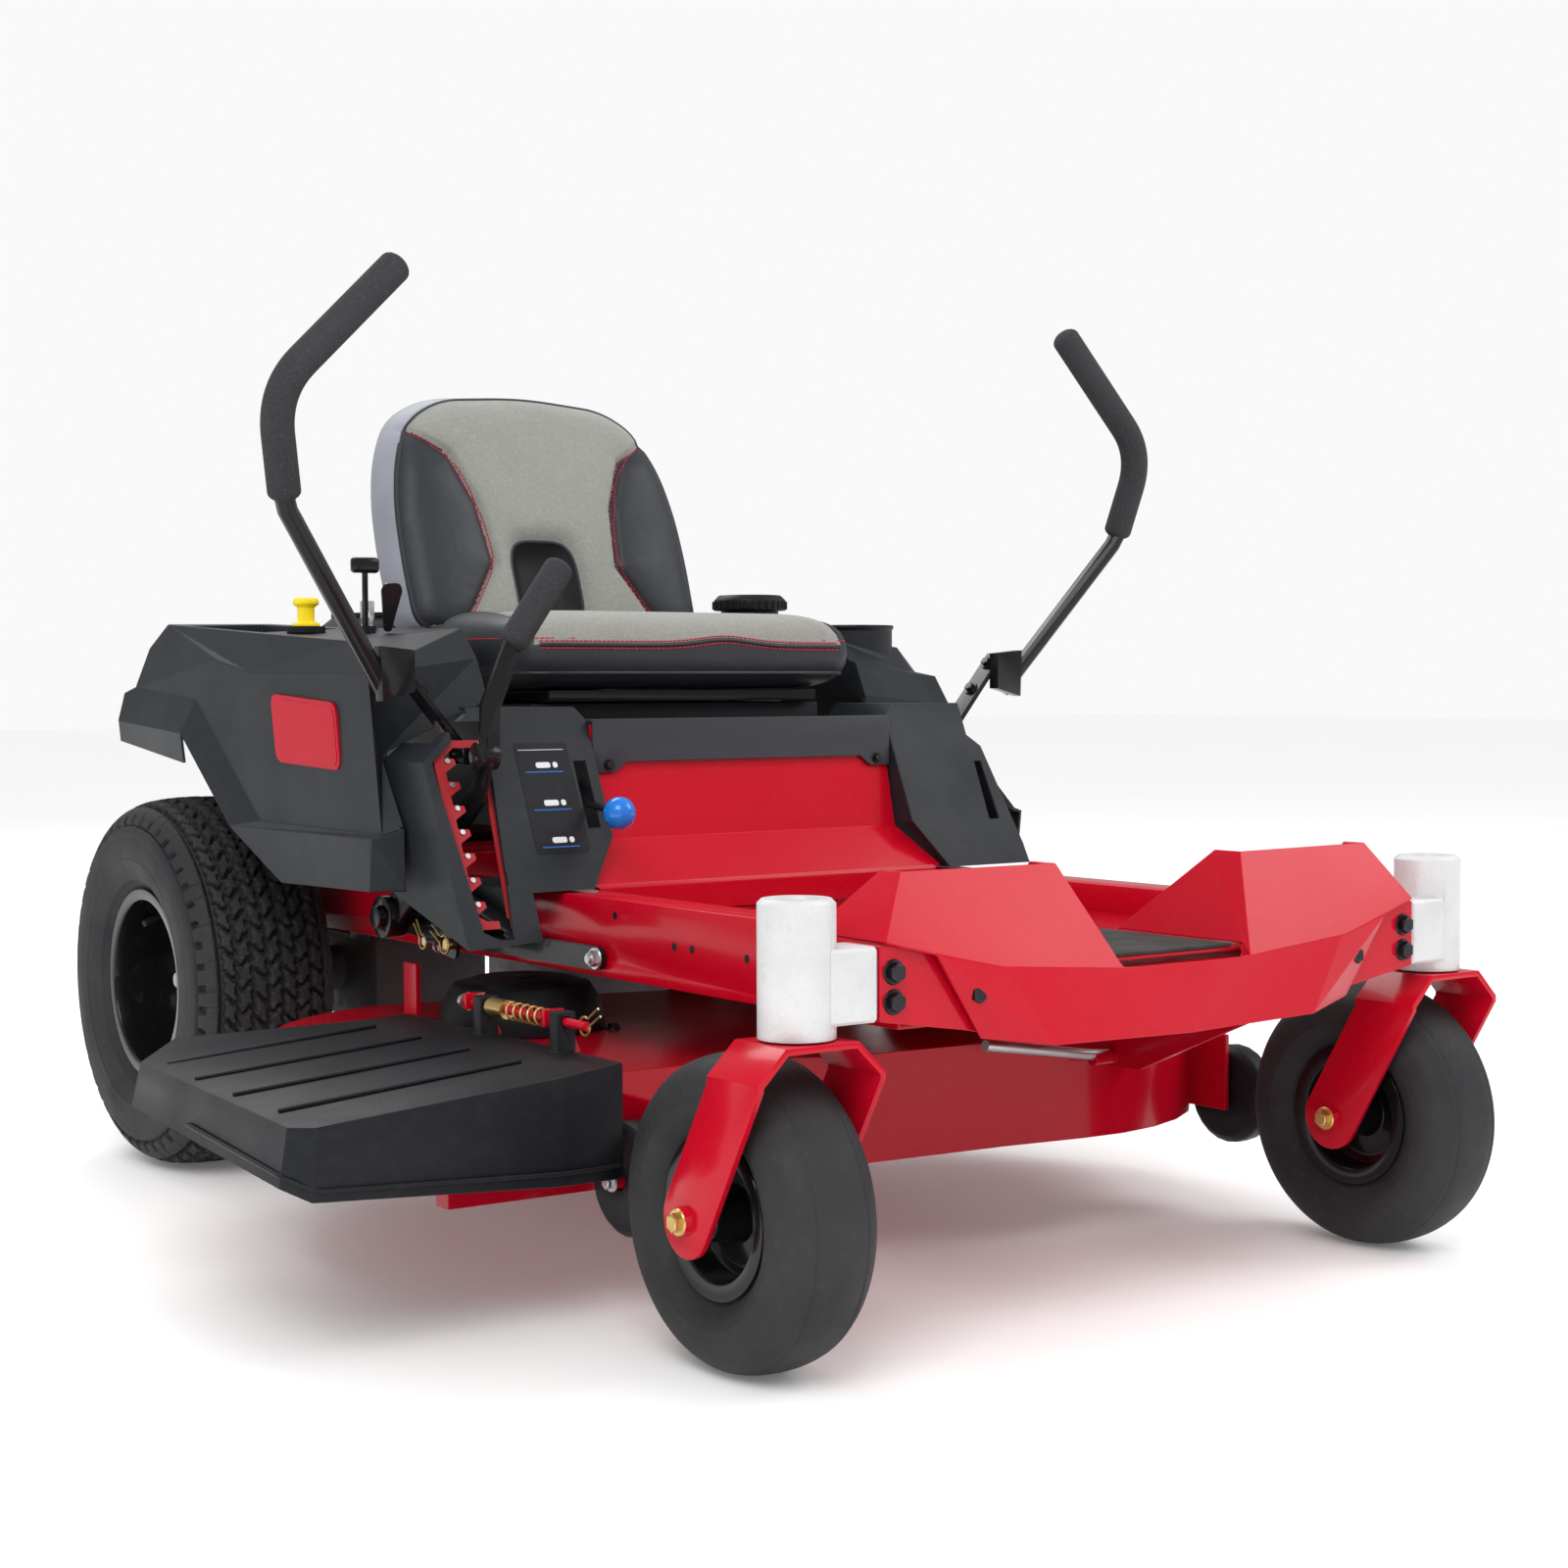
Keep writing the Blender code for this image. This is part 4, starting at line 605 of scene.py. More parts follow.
def caster(side):
    """Front wheel: smooth tyre with two grooves, turned rim and hub spacers."""
    body = f"caster_wheel_{side}"
    x, y, z = centre = at(f"caster_tyre_{side}")
    half = [(0.139, 0.0), (0.1382, 0.015), (0.1345, 0.032), (0.123, 0.046), (0.104, 0.0518), (0.088, 0.048),
            (0.077, 0.038), (0.0742, 0.034), (0.06, 0.0328)]
    radius, offset = fine(mirrored(half), 0.0018).T
    radius = radius - ring(np.abs(offset), 0.026, 0.0011, 0.001) * (radius > 0.12)
    radius = radius + ring(offset, 0.0, 0.0006, 0.0004) * (radius > 0.12)
    offset = offset + np.sign(offset) * ring(radius, 0.096, 0.0014, 0.0008)
    skin = turned(list(zip(radius, offset)), centre, "X", f"caster_tyre_skin_{side}", 128, False)
    stand_in(put(skin, body, TYRE, 40), f"caster_tyre_{side}")
    out = [(0.0735, 0.0385), (0.0725, 0.0345), (0.059, 0.0325), (0.0575, 0.0), (0.059, -0.0325),
           (0.0725, -0.0345), (0.0735, -0.0385), (0.057, -0.037), (0.054, -0.012), (0.046, -0.0085),
           (0.024, -0.01), (0.0205, -0.048), (0.01, -0.049), (0.01, 0.049), (0.0205, 0.048),
           (0.024, 0.01), (0.046, 0.0085), (0.054, 0.012), (0.057, 0.037)]
    stand_in(put(rim(centre, out, f"caster_dish_{side}"), body, RIM, 30), f"caster_rim_{side}")
    for s in (-1, 1):
        put(rod((x + s * 0.0495, y, z), (x + s * 0.059, y, z), 0.017, "hub_spacer"), body, STEEL)


# ---- seat
def closed_line(points, count):
    """Even points round a closed outline with eased corners."""
    eased = softened(points, 0.045, 6)
    points = np.array(eased + eased[:1])
    lengths = run_length(points)
    t = np.linspace(0, lengths[-1], count, endpoint=False)
    return np.stack([np.interp(t, lengths, points[:, i]) for i in (0, 1)], axis=1)


def away(u, v, line):
    """Distance of every point from an open line in the plane."""
    best = np.full(u.shape, 9.0)
    for (a, b), (c, d) in zip(line, line[1:]):
        e, f = c - a, d - b
        t = np.clip(((u - a) * e + (v - b) * f) / (e * e + f * f), 0, 1)
        best = np.minimum(best, np.hypot(u - a - t * e, v - b - t * f))
    return best


def inside(u, v, line):
    """Whether points lie in a closed outline."""
    result = np.zeros(u.shape, bool)
    for (a, b), (c, d) in zip(line, line[1:] + line[:1]):
        crosses = ((b > v) != (d > v)) & (u < (c - a) * (v - b) / (d - b + 1e-12) + a)
        result ^= crosses
    return result


def swelling(r, power):
    """Share of its full depth that a cushion has at a fraction of the way to its edge."""
    return (1 - r ** power) ** 0.45


def pillow(edge, centre, front, back, place, name, power):
    """Closed cushion over an outline. front(u, v, r) is how far the face stands out; back is a depth."""
    r = 1.0 - (1.0 - np.linspace(0.0, 1.0, 110)) ** 1.7
    sheet = []
    for sign in (1, -1):
        for value in (r if sign > 0 else r[::-1]):
            u = centre[0] + (edge[:, 0] - centre[0]) * value
            v = centre[1] + (edge[:, 1] - centre[1]) * value
            depth = front(u, v, value) if sign > 0 else back
            sheet.append(place(u, v, sign * depth * swelling(value, power) + 0 * u))
    return grid(np.array(sheet), name, True, False)


def painted(obj, finishes, choose):
    """Faces take one of several finishes, chosen from their centres in the part's own layout."""
    obj.data.materials.clear()
    for finish in finishes:
        obj.data.materials.append(finish)
    mesh = obj.data
    centres = np.empty(len(mesh.polygons) * 3)
    mesh.polygons.foreach_get("center", centres)
    centres = centres.reshape(-1, 3) - np.array(SHIFT)
    mesh.polygons.foreach_set("material_index", choose(centres).astype(np.int32))
    mesh.update()


def stitches(line, lift, body, name):
    """A row of short raised threads along a line of points on a surface."""
    spacing, radius = 0.006, 0.00085
    points = np.array(line)
    lengths = run_length(points)
    shape = bmesh.new()
    for start in np.arange(0.0, lengths[-1] - spacing, spacing):
        ends = [Vector([np.interp(start + d, lengths, points[:, i]) for i in range(3)])
                for d in (0, spacing * 0.72)]
        run = ends[1] - ends[0]
        turn = run.to_track_quat("Z", "Y").to_matrix().to_4x4()
        place = Matrix.Translation((ends[0] + ends[1]) / 2 + Vector(lift)) @ turn
        bmesh.ops.create_cone(shape, cap_ends=True, segments=6, radius1=radius, radius2=radius,
                              depth=run.length, matrix=place)
    put(from_bmesh(shape, name), body, THREAD)


def piping(line, radius, name, body):
    """Vinyl cord sewn along a seam."""
    put(tube(line, radius, name, 8, 0.001, 1), body, VINYL)


def covered(made, finishes, choose, body, node):
    """Seat cover over a padded cushion of the CAD."""
    painted(made, finishes, choose)
    made.data.shade_smooth()
    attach(made, body)
    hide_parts(node)


BACK_EDGE = [(0.0, 0.656), (0.15, 0.656), (0.214, 0.658), (0.217, 0.75), (0.214, 0.82), (0.202, 0.88),
             (0.176, 0.935), (0.125, 0.964), (0.0, 0.974)]
BACK_EDGE = closed_line(BACK_EDGE + [(-x, z) for x, z in reversed(BACK_EDGE[1:-1])], 260)
BACK_MIDDLE = (0.0, 0.82)
BACK_POWER = 13.0
BACK_SLOPE = 0.345
BOLSTER = [(0.178, 0.918), (0.127, 0.888), (0.1, 0.825), (0.091, 0.748), (0.113, 0.715), (0.138, 0.676)]
RECESS_MIDDLE = (-0.018, 0.718)
RECESS_HALF = (0.047, 0.06)


def back_plane(v):
    """Where the backrest's middle plane is at a height."""
    return -0.1485 + BACK_SLOPE * (v - 0.69)


def back_front(u, v, _r=None):
    """How far the backrest's face stands out of its middle plane."""
    depth = 0.054 + 0.01 * np.clip(1 - np.abs(u) / 0.2, 0, 1) * np.clip((0.95 - v) / 0.2, 0, 1)
    seam = np.minimum(away(np.abs(u), v, BOLSTER), 0.05)
    depth = depth + 0.01 * (1 - np.exp(-(seam / 0.018))) - 0.007 * np.exp(-(seam / 0.0045) ** 2)
    pit = np.exp(-(((u - RECESS_MIDDLE[0]) / 0.046) ** 4 + ((v - RECESS_MIDDLE[1]) / 0.062) ** 4))
    return depth - 0.045 * pit


def on_back(u, v, r):
    """Point of the backrest's face, r of the way from its middle to its edge."""
    d = float(back_front(np.array([u]), np.array([v]))[0]) * swelling(r, BACK_POWER)
    return (u, back_plane(v) - d, v)


def surface_back(u, v):
    """Point of the backrest's face over a place in its outline."""
    offset = BACK_EDGE - np.array(BACK_MIDDLE)
    angle = math.atan2(v - BACK_MIDDLE[1], u)
    angles = np.arctan2(offset[:, 1], offset[:, 0])
    nearest = int(np.argmin(np.abs(np.angle(np.exp(1j * (angles - angle))))))
    reach = math.hypot(*offset[nearest])
    return on_back(u, v, min(math.hypot(u, v - BACK_MIDDLE[1]) / reach, 0.999))


def backrest(body):
    """Backrest cover: fabric middle, vinyl bolsters, lighter sides and a recess at its foot in darker vinyl,
    which is painted shade.
    """
    bolster_area = BOLSTER + [(0.24, 0.66), (0.24, 0.93)]

    def lean(u, v, d):
        return np.stack([u, back_plane(v) - d, v], axis=-1)

    def choose(c):
        d = back_plane(c[:, 2]) - c[:, 1]
        kind = np.where(inside(np.abs(c[:, 0]), c[:, 2], bolster_area), 1, 0)
        kind = np.where(d < -0.04, 1, np.where(d < 0.036, 2, kind))
        # Faces inside the recess take the darker vinyl: painted shade.
        u, v = (c[:, 0] - RECESS_MIDDLE[0]) / RECESS_HALF[0], (c[:, 2] - RECESS_MIDDLE[1]) / RECESS_HALF[1]
        return np.where(u ** 4 + v ** 4 < 1.0, 3, kind)

    back = pillow(BACK_EDGE, BACK_MIDDLE, back_front, 0.045, lean, "backrest_cover", BACK_POWER)
    covered(back, [FABRIC, VINYL, SIDE, SHADED_RECESS_VINYL], choose, body, "seat_backrest")
    seam = np.array(softened(BOLSTER, 0.03, 6, closed=False))
    seam[0] += 0.25 * (seam[1] - seam[0])
    for s in (-1, 1):
        for shift in (-0.003, 0.003):
            line = [surface_back(s * (u0 + (u1 - u0) * t + shift), v0 + (v1 - v0) * t)
                    for (u0, v0), (u1, v1) in zip(seam, seam[1:])
                    for t in np.linspace(0, 1, 6, endpoint=False)]
            stitches(line, (0, -0.0004, 0), body, "back_stitching")
    reach = 0.962
    welt = [on_back(u * reach, BACK_MIDDLE[1] + (v - BACK_MIDDLE[1]) * reach, reach)
            for u, v in BACK_EDGE[::2]]
    piping(welt + [welt[0]], 0.0022, "back_piping", body)

    def rounded(value):
        return math.copysign(abs(value) ** 0.5, value)

    rim_line = [(RECESS_HALF[0] * rounded(math.cos(a)) + RECESS_MIDDLE[0],
                 RECESS_HALF[1] * rounded(math.sin(a)) + RECESS_MIDDLE[1])
                for a in np.linspace(-0.45, math.pi + 0.45, 40)]
    piping([surface_back(u, v) for u, v in rim_line], 0.0022, "recess_piping", body)


CUSHION_EDGE = [(-0.23, -0.518), (-0.12, -0.523), (0.12, -0.523), (0.23, -0.518), (0.25, -0.42),
                (0.246, -0.33), (0.215, -0.25), (0.15, -0.175), (-0.15, -0.175), (-0.215, -0.25),
                (-0.246, -0.33), (-0.25, -0.42)]
SEAMS = {"right": [(-0.226, -0.54), (-0.215, -0.47), (-0.185, -0.35), (-0.145, -0.195)],
         "left": [(0.215, -0.54), (0.19, -0.45), (0.165, -0.35), (0.145, -0.195)]}
PANEL_EDGE = SEAMS["right"] + SEAMS["left"][::-1]
CUSHION_MIDDLE = -0.33


def front_seam(x):
    """Height of the seam across the cushion's front."""
    return 0.64 + 0.007 * np.exp(-((x - 0.03) / 0.05) ** 2)


def cushion_top(u, v, r):
    """How far the cushion's top stands above its middle."""
    depth = 0.046 + 0.006 * np.clip((np.abs(u) - 0.12) / 0.1, 0, 1) * np.clip((v + 0.46) / 0.1, 0, 1)
    seam = np.minimum(away(u, v, SEAMS["right"]), away(u, v, SEAMS["left"]))
    swell = 0.006 * (1 - np.exp(-(np.minimum(seam, 0.05) / 0.02)))
    depth = depth - 0.0055 * np.exp(-(seam / 0.0045) ** 2) + swell
    return depth - 0.006 * np.exp(-(r / 0.45) ** 2)


def cushion(body):
    """Cushion cover: fabric top, vinyl sides, with stitched and piped seams."""
    edge = closed_line(CUSHION_EDGE, 280)

    def flat(u, v, d):
        return np.stack([u, v + 0.1 * np.clip(-d, 0, 1), 0.63 + d], axis=-1)

    def choose(c):
        top = inside(c[:, 0], c[:, 1], PANEL_EDGE) & (c[:, 2] > front_seam(c[:, 0]))
        return np.where(top, 0, 1)

    made = pillow(edge, (0.0, CUSHION_MIDDLE), cushion_top, 0.041, flat, "cushion_cover", 11.0)
    covered(made, [FABRIC, VINYL], choose, body, "seat_cushion")

    def front_line(shift):
        return [on_surface(made, (x, -0.6, front_seam(x) + shift), (0, 1, 0))
                for x in np.linspace(-0.216, 0.205, 60)]

    def top_line(line, shift=0.0):
        points = softened(line, 0.03, 6, closed=False)[2:]
        return [on_surface(made, (x + shift, y, 0.8), (0, 0, -1)) for x, y in points if y > -0.505]

    stitches(front_line(-0.0042), (0, -0.0004, 0), body, "front_stitching")
    piping(front_line(0.0), 0.0024, "front_piping", body)
    stitches(front_line(0.0042), (0, -0.0004, 0), body, "front_stitching")
    for shift in (-0.003, 0.003):
        for line in SEAMS.values():
            stitches(top_line(line, shift), (0, 0, 0.0004), body, "side_stitching")
    for line in SEAMS.values():
        piping(top_line(line), 0.002, "seam_piping", body)
    for s in (-1, 1):
        brim = [(s * 0.19, -0.53), (s * 0.235, -0.515), (s * 0.252, -0.42), (s * 0.248, -0.33),
                (s * 0.215, -0.25)]
        along = [on_surface(made, (x * 1.4, -0.38 + (y + 0.38) * 1.4, 0.647), (-x, -0.38 - y, 0))
                 for x, y in softened(brim, 0.03, 6, closed=False)]
        stitches(along, (0, 0, 0.0002), body, "rim_stitching")
    welt = [on_surface(made, (x * 1.5, y + (y - CUSHION_MIDDLE) * 0.5, 0.608), (-x, CUSHION_MIDDLE - y, 0))
            for x, y in edge[::3]]
    piping(welt + [welt[0]], 0.0026, "cushion_piping", body)


def on_surface(obj, start, direction):
    """Where a line from a point first meets a piece."""
    hit, place, _, _ = obj.ray_cast(Vector(start) + SHIFT, Vector(direction).normalized())
    if not hit:
        raise SystemExit(f"no surface of {obj.name} from {start}")
    return tuple(place - SHIFT)


# ---- everything else
# Folded sheets and angular mouldings, and the angle in degrees above which their edges are rounded.
FOLDS = {"front_panel": 6, "riser_panel": 6, "front_beam": 13, "pod_left": 6, "pod_right": 6,
         "fender_right": 6, "fender_left": 13.5, "deck_shell": 14}
# Finish, edge radius, bevel segments, edge angle and the nodes that take them.
PLAIN = (
    (RED, 0.0009, 2, 24, "frame_rail_left frame_rail_right front_beam rear_frame floor_pan front_panel "
     "riser_panel caster_fork_left caster_fork_right deck_shell chute_rod"),
    (BLACK, 0.0006, 2, 24, "rear_guard seat_shell lever_base_left lever_base_right height_lever "
     "lift_shaft speed_lever choke_knob lever_arm_left lever_arm_right"),
    (PLASTIC, 0.0016, 3, 13.5, "pod_left pod_right fender_left fender_right"),
    (TANK, 0.0012, 2, 24, "engine_shroud belt_cover_left belt_cover_right fuel_cap battery_box"),
    (CHUTE, 0.0024, 3, 16, "discharge_chute scalp_wheel_left scalp_wheel_right"),
    (PANEL, 0.0008, 2, 24, "seat_panel"),
    (CAST, 0.0015, 2, 24, "caster_housing_left caster_housing_right"),
    (IRON, 0.001, 2, 24, "transaxle_left transaxle_right engine_block"),
    (STEEL, 0.0004, 2, 24, "muffler blade_spindle_left blade_spindle_right ignition_key"),
    (MAT, 0.0006, 2, 24, "grip_mat"),
    (RACK, 0.0005, 2, 24, "height_rack"),
    (YELLOW, 0.0005, 2, 24, "blade_switch"),
    (BLUE, 0.0, 2, 24, "speed_knob"),
    (FOAM, 0.0012, 2, 24, "lever_grip_left lever_grip_right height_grip"),
)


def plain_nodes():
    """Dress every CAD node in its finish; some are replaced by finer pieces later."""
    for finish, bevel, segments, angle, nodes in PLAIN:
        for node in nodes.split():
            dressed(node, finish, bevel, segments, FOLDS.get(node, angle))


def grips():
    """Foam sleeves with rounded ends."""
    for side, s in LEFT_RIGHT:
        path = [(s * 0.572, -0.617, 0.779), (s * 0.594, -0.64, 0.886), (s * 0.4543, -0.6439, 1.0265)]
        made = put(tube(path, 0.017, f"grip_sleeve_{side}", 28, 0.045, 14, True), f"lever_{side}", FOAM, 60)
        stand_in(made, f"lever_grip_{side}")
    path = [(-0.333, -0.6478, 0.635), (-0.302, -0.6494, 0.6795), (-0.27, -0.651, 0.7255)]
    made = put(tube(path, 0.016, "height_sleeve", 28, 0.002, 1, True), "height_control", FOAM, 60)
    stand_in(made, "height_grip")


def lever_details():
    """Adjusting bolts up the foot of each steering lever."""
    across, up = 0.6456, 0.7637
    for side, s in LEFT_RIGHT:
        for k in (0.086, 0.128):
            x, z = s * (0.335 + across * k), 0.52 + up * k
            bolt((x - s * 0.0028, -0.549, z + 0.0022), (-s * up, 0, across), f"lever_{side}", BLACK,
                 0.007, 0.009, 0.004)


def fasteners():
    """Bolts of the castings, nose and seat panel, with each caster's axle bolt and spindle nut."""
    for side, s in RIGHT_LEFT:
        for z in (0.3507, 0.3251):
            bolt((s * 0.328, -1.2836, z), (0, -1, 0), "chassis", DARK_STEEL, 0.0085, 0.0112)
        bolt((s * 0.244, -1.2918, 0.326), (0, -1, 0.1), "chassis", DARK_STEEL, 0.008, 0.0105)
        bolt((s * 0.188, -0.6092, 0.506), (0, -1, 0), "chassis", DARK_STEEL, 0.005, 0.0065, 0.003)
        x, y, z = at(f"caster_tyre_{side}")
        for turn in (-1, 1):
            bolt((x + turn * 0.0732, y, z), (turn, 0, 0), f"caster_{side}", GOLD, 0.0085, 0.012, 0.005)
        y = at(f"caster_housing_{side}")[1]
        put(rod((x, y, 0.409), (x, y, 0.4125), 0.014, "spindle_nut", 6), f"caster_{side}", STEEL, 25)


def hairpin(place, body, turn, size=1.0):
    """Spring-wire hairpin with its loop, hanging from a pin."""
    x, y, z = place
    loop = [(0.01 * math.cos(a) * size, 0.01 * math.sin(a) * size)
            for a in np.linspace(0.4, 2 * math.pi - 0.4, 14)]
    flat = [(0.034 * size, 0.004)] + loop + [(0.034 * size, -0.004)]
    c, k = math.cos(turn), math.sin(turn)
    path = [(x, y - 0.001 + (u * c - v * k), z + (u * k + v * c)) for u, v in flat]
    put(tube(path, 0.0012, "hairpin", 8, 0.003, 3), body, GOLD, 60)


def right_side_details():
    """Link bar, lift plates, pins and springs under the right moulding."""
    bar = arc((-0.75, 0.312), 0.0125, 90, 270, 10) + [(-0.47, 0.2995), (-0.47, 0.3245)]
    put(plate(bar, "X", (-0.2935, -0.2885), "link_bar", 0.0008), "chassis", BLACK)
    bolt((-0.2936, -0.749, 0.312), (-1, 0, 0), "chassis", STEEL, 0.0085, 0.012, 0.005)
    put(rod((-0.299, -0.749, 0.312), (-0.304, -0.749, 0.312), 0.005, "bolt_end"), "chassis", STEEL)
    # Near-black discs on the rail's outer face stand for its holes: painted shade where the holes are dark
    # inside.
    for y, z in ((-0.774, 0.358), (-0.8835, 0.335), (-0.915, 0.335), (-1.008, 0.334), (-1.031, 0.334)):
        put(rod((-0.2853, y, z), (-0.2846, y, z), 0.0042, "rail_hole_painted_shade", 20, 0.0), "chassis", TANK)
    gusset = softened([(-0.548, 0.34), (-0.51, 0.372), (-0.36, 0.372), (-0.34, 0.335),
                       (-0.37, 0.312), (-0.47, 0.308), (-0.53, 0.312)], 0.012, 5)
    put(plate(gusset, "X", (-0.301, -0.297), "lift_plate", 0.0008), "chassis", BLACK)
    for y, z in ((-0.515, 0.335), (-0.455, 0.326), (-0.38, 0.338)):
        bolt((-0.301, y, z), (-1, 0, 0), "chassis", GOLD, 0.007, 0.0095, 0.0045)
    strap = softened([(-0.556, 0.327), (-0.528, 0.331), (-0.518, 0.3), (-0.55, 0.296)], 0.008, 4)
    put(plate(strap, "X", (-0.348, -0.3445), "lift_strap", 0.0006), "height_control", BLACK)
    for y, z, radius, finish, turn, size in ((-0.54, 0.313, 0.006, GOLD, 0.5, 1.0),
                                             (-0.49, 0.312, 0.005, STEEL, 0.9, 0.8)):
        put(rod((-0.356, y, z), (-0.305, y, z), radius, "clevis_pin"), "height_control", finish)
        hairpin((-0.357, y, z), "height_control", turn, size)
    coil = spring((-0.34, -0.49, 0.306), 0.0062, 0.0018, 24, 180, 0.0012, "return_spring")
    put(coil, "height_control", STEEL, 60)


def chute_details():
    """Ribs on the chute, and the sleeve, spring and pins of its hinge."""
    for start, end_x, end_y in ((-0.6, -0.69, -0.585), (-0.7, -0.705, -0.69), (-0.8, -0.712, -0.795),
                                (-0.9, -0.715, -0.9)):
        path = [(-0.47, start, 0.2405 + 0.0006), (end_x, end_y, 0.2195 + 0.0006)]
        put(tube(path, 0.0022, "chute_rib", 10), "chute", CHUTE, 60)
    lip = [(-0.418, -0.9905, 0.15), (-0.485, -0.9975, 0.1515), (-0.722, -0.9885, 0.164),
           (-0.7445, -0.966, 0.176), (-0.726, -0.72, 0.183)]
    put(tube(lip, 0.0022, "chute_lip", 10, 0.01, 4), "chute", CHUTE, 60)
    x, z = -0.415, 0.272
    put(rod((x, -0.748, z), (x, -0.78, z), 0.0095, "hinge_sleeve"), "chute", GOLD)
    put(spring((x, -0.785, z), 0.0085, 0.0022, 34, 240, 0.0013, "chute_spring"), "deck", GOLD, 60)
    put(rod((x, -0.696, z), (x, -0.69, z), 0.008, "rod_washer"), "deck", STEEL)
    hairpin((x, -0.925, z), "deck", 2.6, 0.9)
    hairpin((x, -0.7, z), "deck", 2.9, 0.9)


def deck_details():
    """Bolts and caps of the belt covers, roller bolts, and the hanger rod under the nose."""
    for side, _ in RIGHT_LEFT:
        x, y, _ = at(f"belt_cover_{side}")
        for k in range(4):
            a = math.radians(45 + 90 * k)
            bolt((x + 0.103 * math.cos(a), y + 0.103 * math.sin(a), 0.2181), (0, 0, 1), "deck", DARK_STEEL,
                 0.006, 0.0085, 0.004)
        put(rod((x, y, 0.2745), (x, y, 0.277), 0.018, "cover_cap"), "deck", TANK)
    for side, s in RIGHT_LEFT:
        x, y, z = at(f"scalp_wheel_{side}")
        bolt((x + s * 0.026, y, z), (s, 0, 0), "deck", STEEL, 0.007, 0.01, 0.005)
    hanger = [(0.02, -1.0, 0.2225), (0.17, -1.0, 0.199), (0.229, -1.0, 0.194)]
    put(tube(hanger, 0.006, "hanger_rod", 14, 0.02, 6), "chassis", STEEL, 60)
    put(rod((0.21, -1.0, 0.195), (0.242, -1.0, 0.193), 0.01, "hanger_bush"), "chassis", TYRE)


def pod_details():
    """Marker plate with generic marks on the right pod, and a stud by each notch of the height rack."""
    slope = 0.4328
    lean = math.atan(slope)

    def on_pod(x, z, lift):
        y = -0.595 - slope * (0.56 - z)
        return Vector((x, y - lift * math.cos(lean), z + lift * math.sin(lean)))

    def patch(x0, x1, z0, z1, lift, finish, name, corner=0.004):
        flat = softened([(x0, z0), (x1, z0), (x1, z1), (x0, z1)], corner, 4)
        shape, _ = prism(*([on_pod(x, z, out) for x, z in flat] for out in (0.0001, lift)))
        put(from_bmesh(shape, name), "chassis", finish)

    patch(-0.308, -0.242, 0.415, 0.532, 0.0004, TANK, "marker_plate")
    for z in (0.508, 0.468, 0.429):
        patch(-0.3, -0.254, z - 0.0078, z - 0.0066, 0.0007, BLUE_MARK, "mark_line", 0.0002)
        patch(-0.286, -0.268, z - 0.003, z + 0.003, 0.0008, MARK, "mark_bar", 0.0028)
        patch(-0.265, -0.259, z - 0.003, z + 0.003, 0.0008, MARK, "mark_dot", 0.003)
    patch(-0.304, -0.248, 0.524, 0.5246, 0.0007, MARK, "mark_rule", 0.0002)
    for index in range(7):
        z = 0.3675 + 0.0245 * index
        place = on_pod(-0.388, z, 0.0) + Vector((0, 0.006, 0))
        top = place + Vector((0, -math.cos(lean), math.sin(lean))) * 0.0016
        put(rod(place, top, 0.003, "notch_mark", 16, 0.0004), "chassis", STEEL)


def console_details():
    """Collars under the console controls, a ribbed fuel cap and the cup holder's ring."""
    for node, low, high, radius, name, body, finish in (
            ("blade_switch", 0.656, 0.664, 0.0225, "switch_collar", "chassis", TANK),
            ("choke_knob", 0.654, 0.663, 0.012, "choke_collar", "chassis", TANK),
            ("choke_knob", 0.664, 0.724, 0.0032, "choke_stem", "choke", DARK_STEEL),
            ("ignition_key", 0.656, 0.6655, 0.012, "key_collar", "chassis", CHROME)):
        x, y, _ = at(node)
        put(rod((x, y, low), (x, y, high), radius, name), body, finish)
    blade = softened([(-0.004, 0.0), (0.004, 0.0), (0.013, 0.048), (0.009, 0.056), (-0.009, 0.056),
                      (-0.013, 0.048)], 0.003, 3)
    turn = Matrix.Translation((-0.34, -0.38, 0.656)) @ Matrix.Rotation(0.25, 4, "X")
    put(plate(blade, "Y", (-0.0022, 0.0022), "throttle_blade", 0.0006, turn), "chassis", BLACK)
    x, y, _ = at("fuel_cap")
    for k in range(30):
        a = 2 * math.pi * k / 30
        u, v = x + 0.05 * math.cos(a), y + 0.05 * math.sin(a)
        put(rod((u, v, 0.6975), (u, v, 0.7085), 0.0022, "cap_rib", 8, 0.0004), "fuel_cap", TANK)
    lip = [(0.0555, 0.663), (0.058, 0.668), (0.0575, 0.671), (0.05, 0.671), (0.049, 0.668), (0.0495, 0.655)]
    put(turned(lip, (0.36, -0.335, 0.0), "Z", "cup_ring", 64), "chassis", TANK)


def engine_details():
    """Cooling fins, recoil grille and muffler guard slots behind the seat."""
    for k in range(7):
        z = 0.4 + 0.016 * k
        put(block((-0.158, 0.158), (0.055, 0.375), (z, z + 0.004), "cooling_fin", 0.0008), "chassis", IRON)
    y = at("engine_shroud")[1]
    for k in range(18):
        a = 2 * math.pi * k / 18
        u, v = 0.08 * math.cos(a), y + 0.08 * math.sin(a)
        put(block((u - 0.026, u + 0.026), (v - 0.0022, v + 0.0022), (0.6895, 0.6935), "grille_bar", 0.0006,
                  Matrix.Rotation(a, 3, "Z")), "chassis", TANK)
    ring_section = [(0.112, 0.69), (0.112, 0.695), (0.106, 0.695), (0.106, 0.69)]
    put(turned(ring_section, (0, y, 0), "Z", "grille_ring"), "chassis", TANK)
    hub_section = [(0.0, 0.698), (0.04, 0.697), (0.046, 0.69), (0.0, 0.69)]
    put(turned(hub_section, (0, y, 0), "Z", "grille_hub", 64, False), "chassis", STEEL)
    for k in range(9):
        x = -0.128 + 0.032 * k
        slot = block((x - 0.004, x + 0.004), (0.5145, 0.517), (0.42, 0.48), "muffler_slot", 0.0008)
        put(slot, "chassis", IRON)


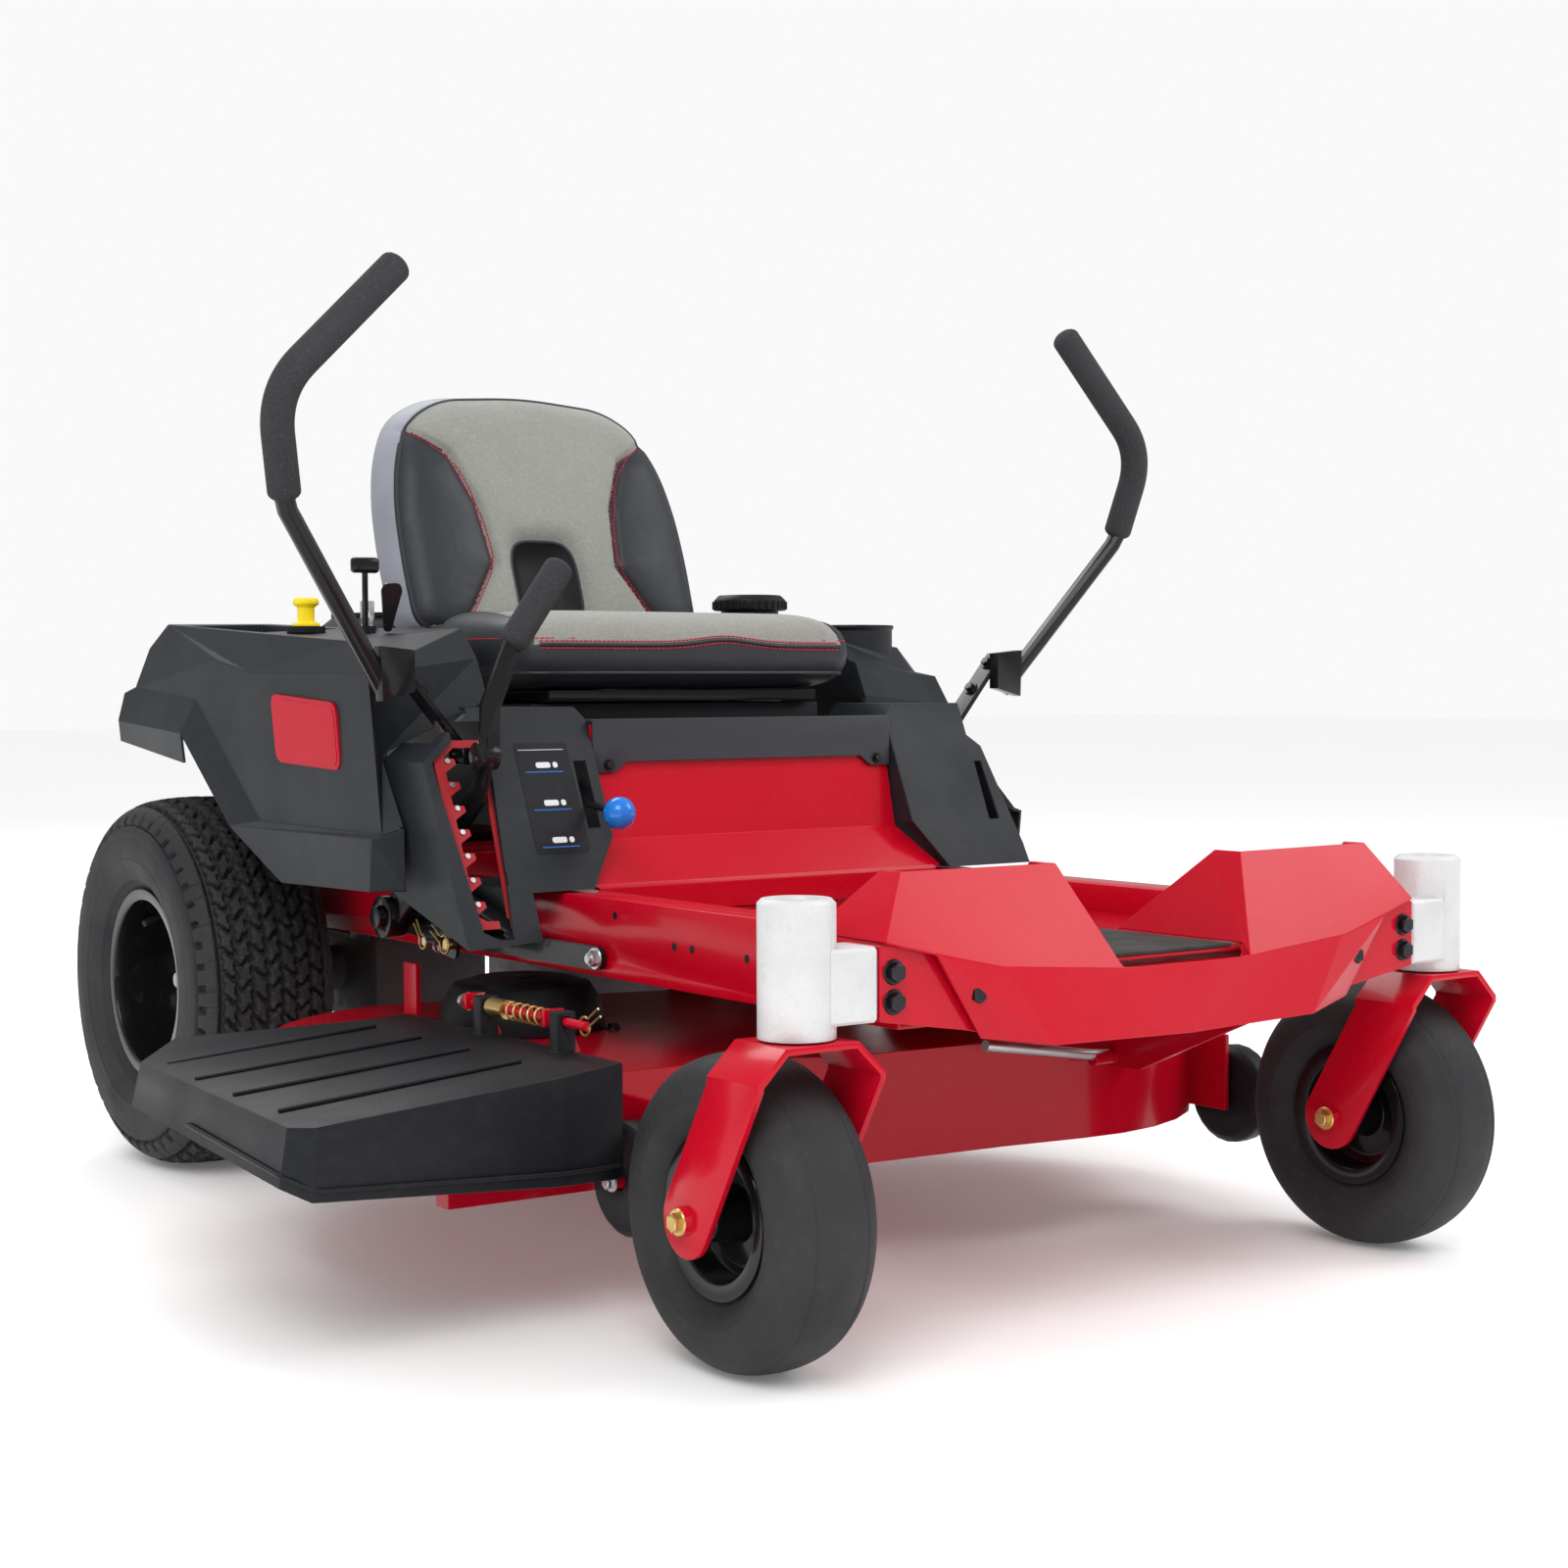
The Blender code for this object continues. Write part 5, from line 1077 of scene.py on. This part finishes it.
def badge():
    """Blank badge on the right moulding's side, with a raised face."""
    for outline, corner, span, name, bevel in (
            ([(-0.47, 0.502), (-0.305, 0.508), (-0.29, 0.586), (-0.458, 0.576)], 0.016,
             (-0.444, -0.4408), "badge", 0.0005),
            ([(-0.464, 0.507), (-0.31, 0.5125), (-0.2965, 0.581), (-0.453, 0.5715)], 0.013,
             (-0.4446, -0.4438), "badge_face", 0.0002)):
        put(plate(softened(outline, corner, 6), "X", span, name, bevel), "chassis", BADGE)


def white_world():
    """White surroundings that reflections see dimmer, so that the paint keeps its colour."""
    direct, reflected = 0.95, 0.45
    world = bpy.data.worlds.new("studio")
    world.use_nodes = True
    nodes, links = world.node_tree.nodes, world.node_tree.links
    nodes["Background"].inputs["Color"].default_value = (1.0, 1.0, 1.0, 1.0)
    path = nodes.new("ShaderNodeLightPath")
    strength = nodes.new("ShaderNodeMapRange")
    strength.inputs["To Min"].default_value = direct
    strength.inputs["To Max"].default_value = reflected
    links.new(path.outputs["Is Glossy Ray"], strength.inputs["Value"])
    links.new(strength.outputs[0], nodes["Background"].inputs["Strength"])
    bpy.context.scene.world = world


def softbox(place, size, power):
    """Area lamp aimed at the middle of the machine."""
    lamp = bpy.data.lights.new("softbox", "AREA")
    lamp.energy = power
    lamp.size = size
    obj = bpy.data.objects.new("softbox", lamp)
    obj.location = place
    obj.rotation_mode = "QUATERNION"
    obj.rotation_quaternion = (Vector((0, 0, 0.4)) - Vector(place)).to_track_quat("-Z", "Y")
    bpy.context.collection.objects.link(obj)


def front_right_camera():
    """Camera at seat height, ahead of the machine and to its right."""
    lens = bpy.data.cameras.new("camera")
    lens.lens = 55.72
    lens.sensor_width = 36.0
    camera = bpy.data.objects.new("camera", lens)
    bpy.context.collection.objects.link(camera)
    heading, drop, tilt = math.radians(36.1746), math.radians(2.3733), math.radians(-0.2169)
    turn = Matrix.Rotation(-heading, 4, "Z") @ Matrix.Rotation(math.pi / 2 - drop, 4, "X")
    place = Vector((-1.60972, -2.88041, 0.59517)) + SHIFT
    camera.matrix_world = Matrix.Translation(place) @ turn @ Matrix.Rotation(tilt, 4, "Z")
    bpy.context.scene.camera = camera


def studio():
    """Pale floor, white surroundings, three softboxes and the camera."""
    bpy.ops.mesh.primitive_plane_add(size=60.0, location=(0, 0, 0))
    floor = bpy.context.object
    floor.name = "floor"
    floor.data.materials.append(FLOOR)
    white_world()
    bpy.context.scene.view_settings.view_transform = "Standard"
    softbox((-3.2, -3.2, 4.2), 3.0, 145.0)
    softbox((3.5, -2.5, 3.6), 2.5, 75.0)
    softbox((0.5, 3.5, 4.5), 3.0, 110.0)
    front_right_camera()


plain_nodes()
for wheel_side, outward in LEFT_RIGHT:
    rear_wheel(wheel_side, outward)
    caster(wheel_side)
backrest("seat")
cushion("seat")
grips()
lever_details()
fasteners()
badge()
right_side_details()
chute_details()
deck_details()
pod_details()
console_details()
engine_details()
studio()
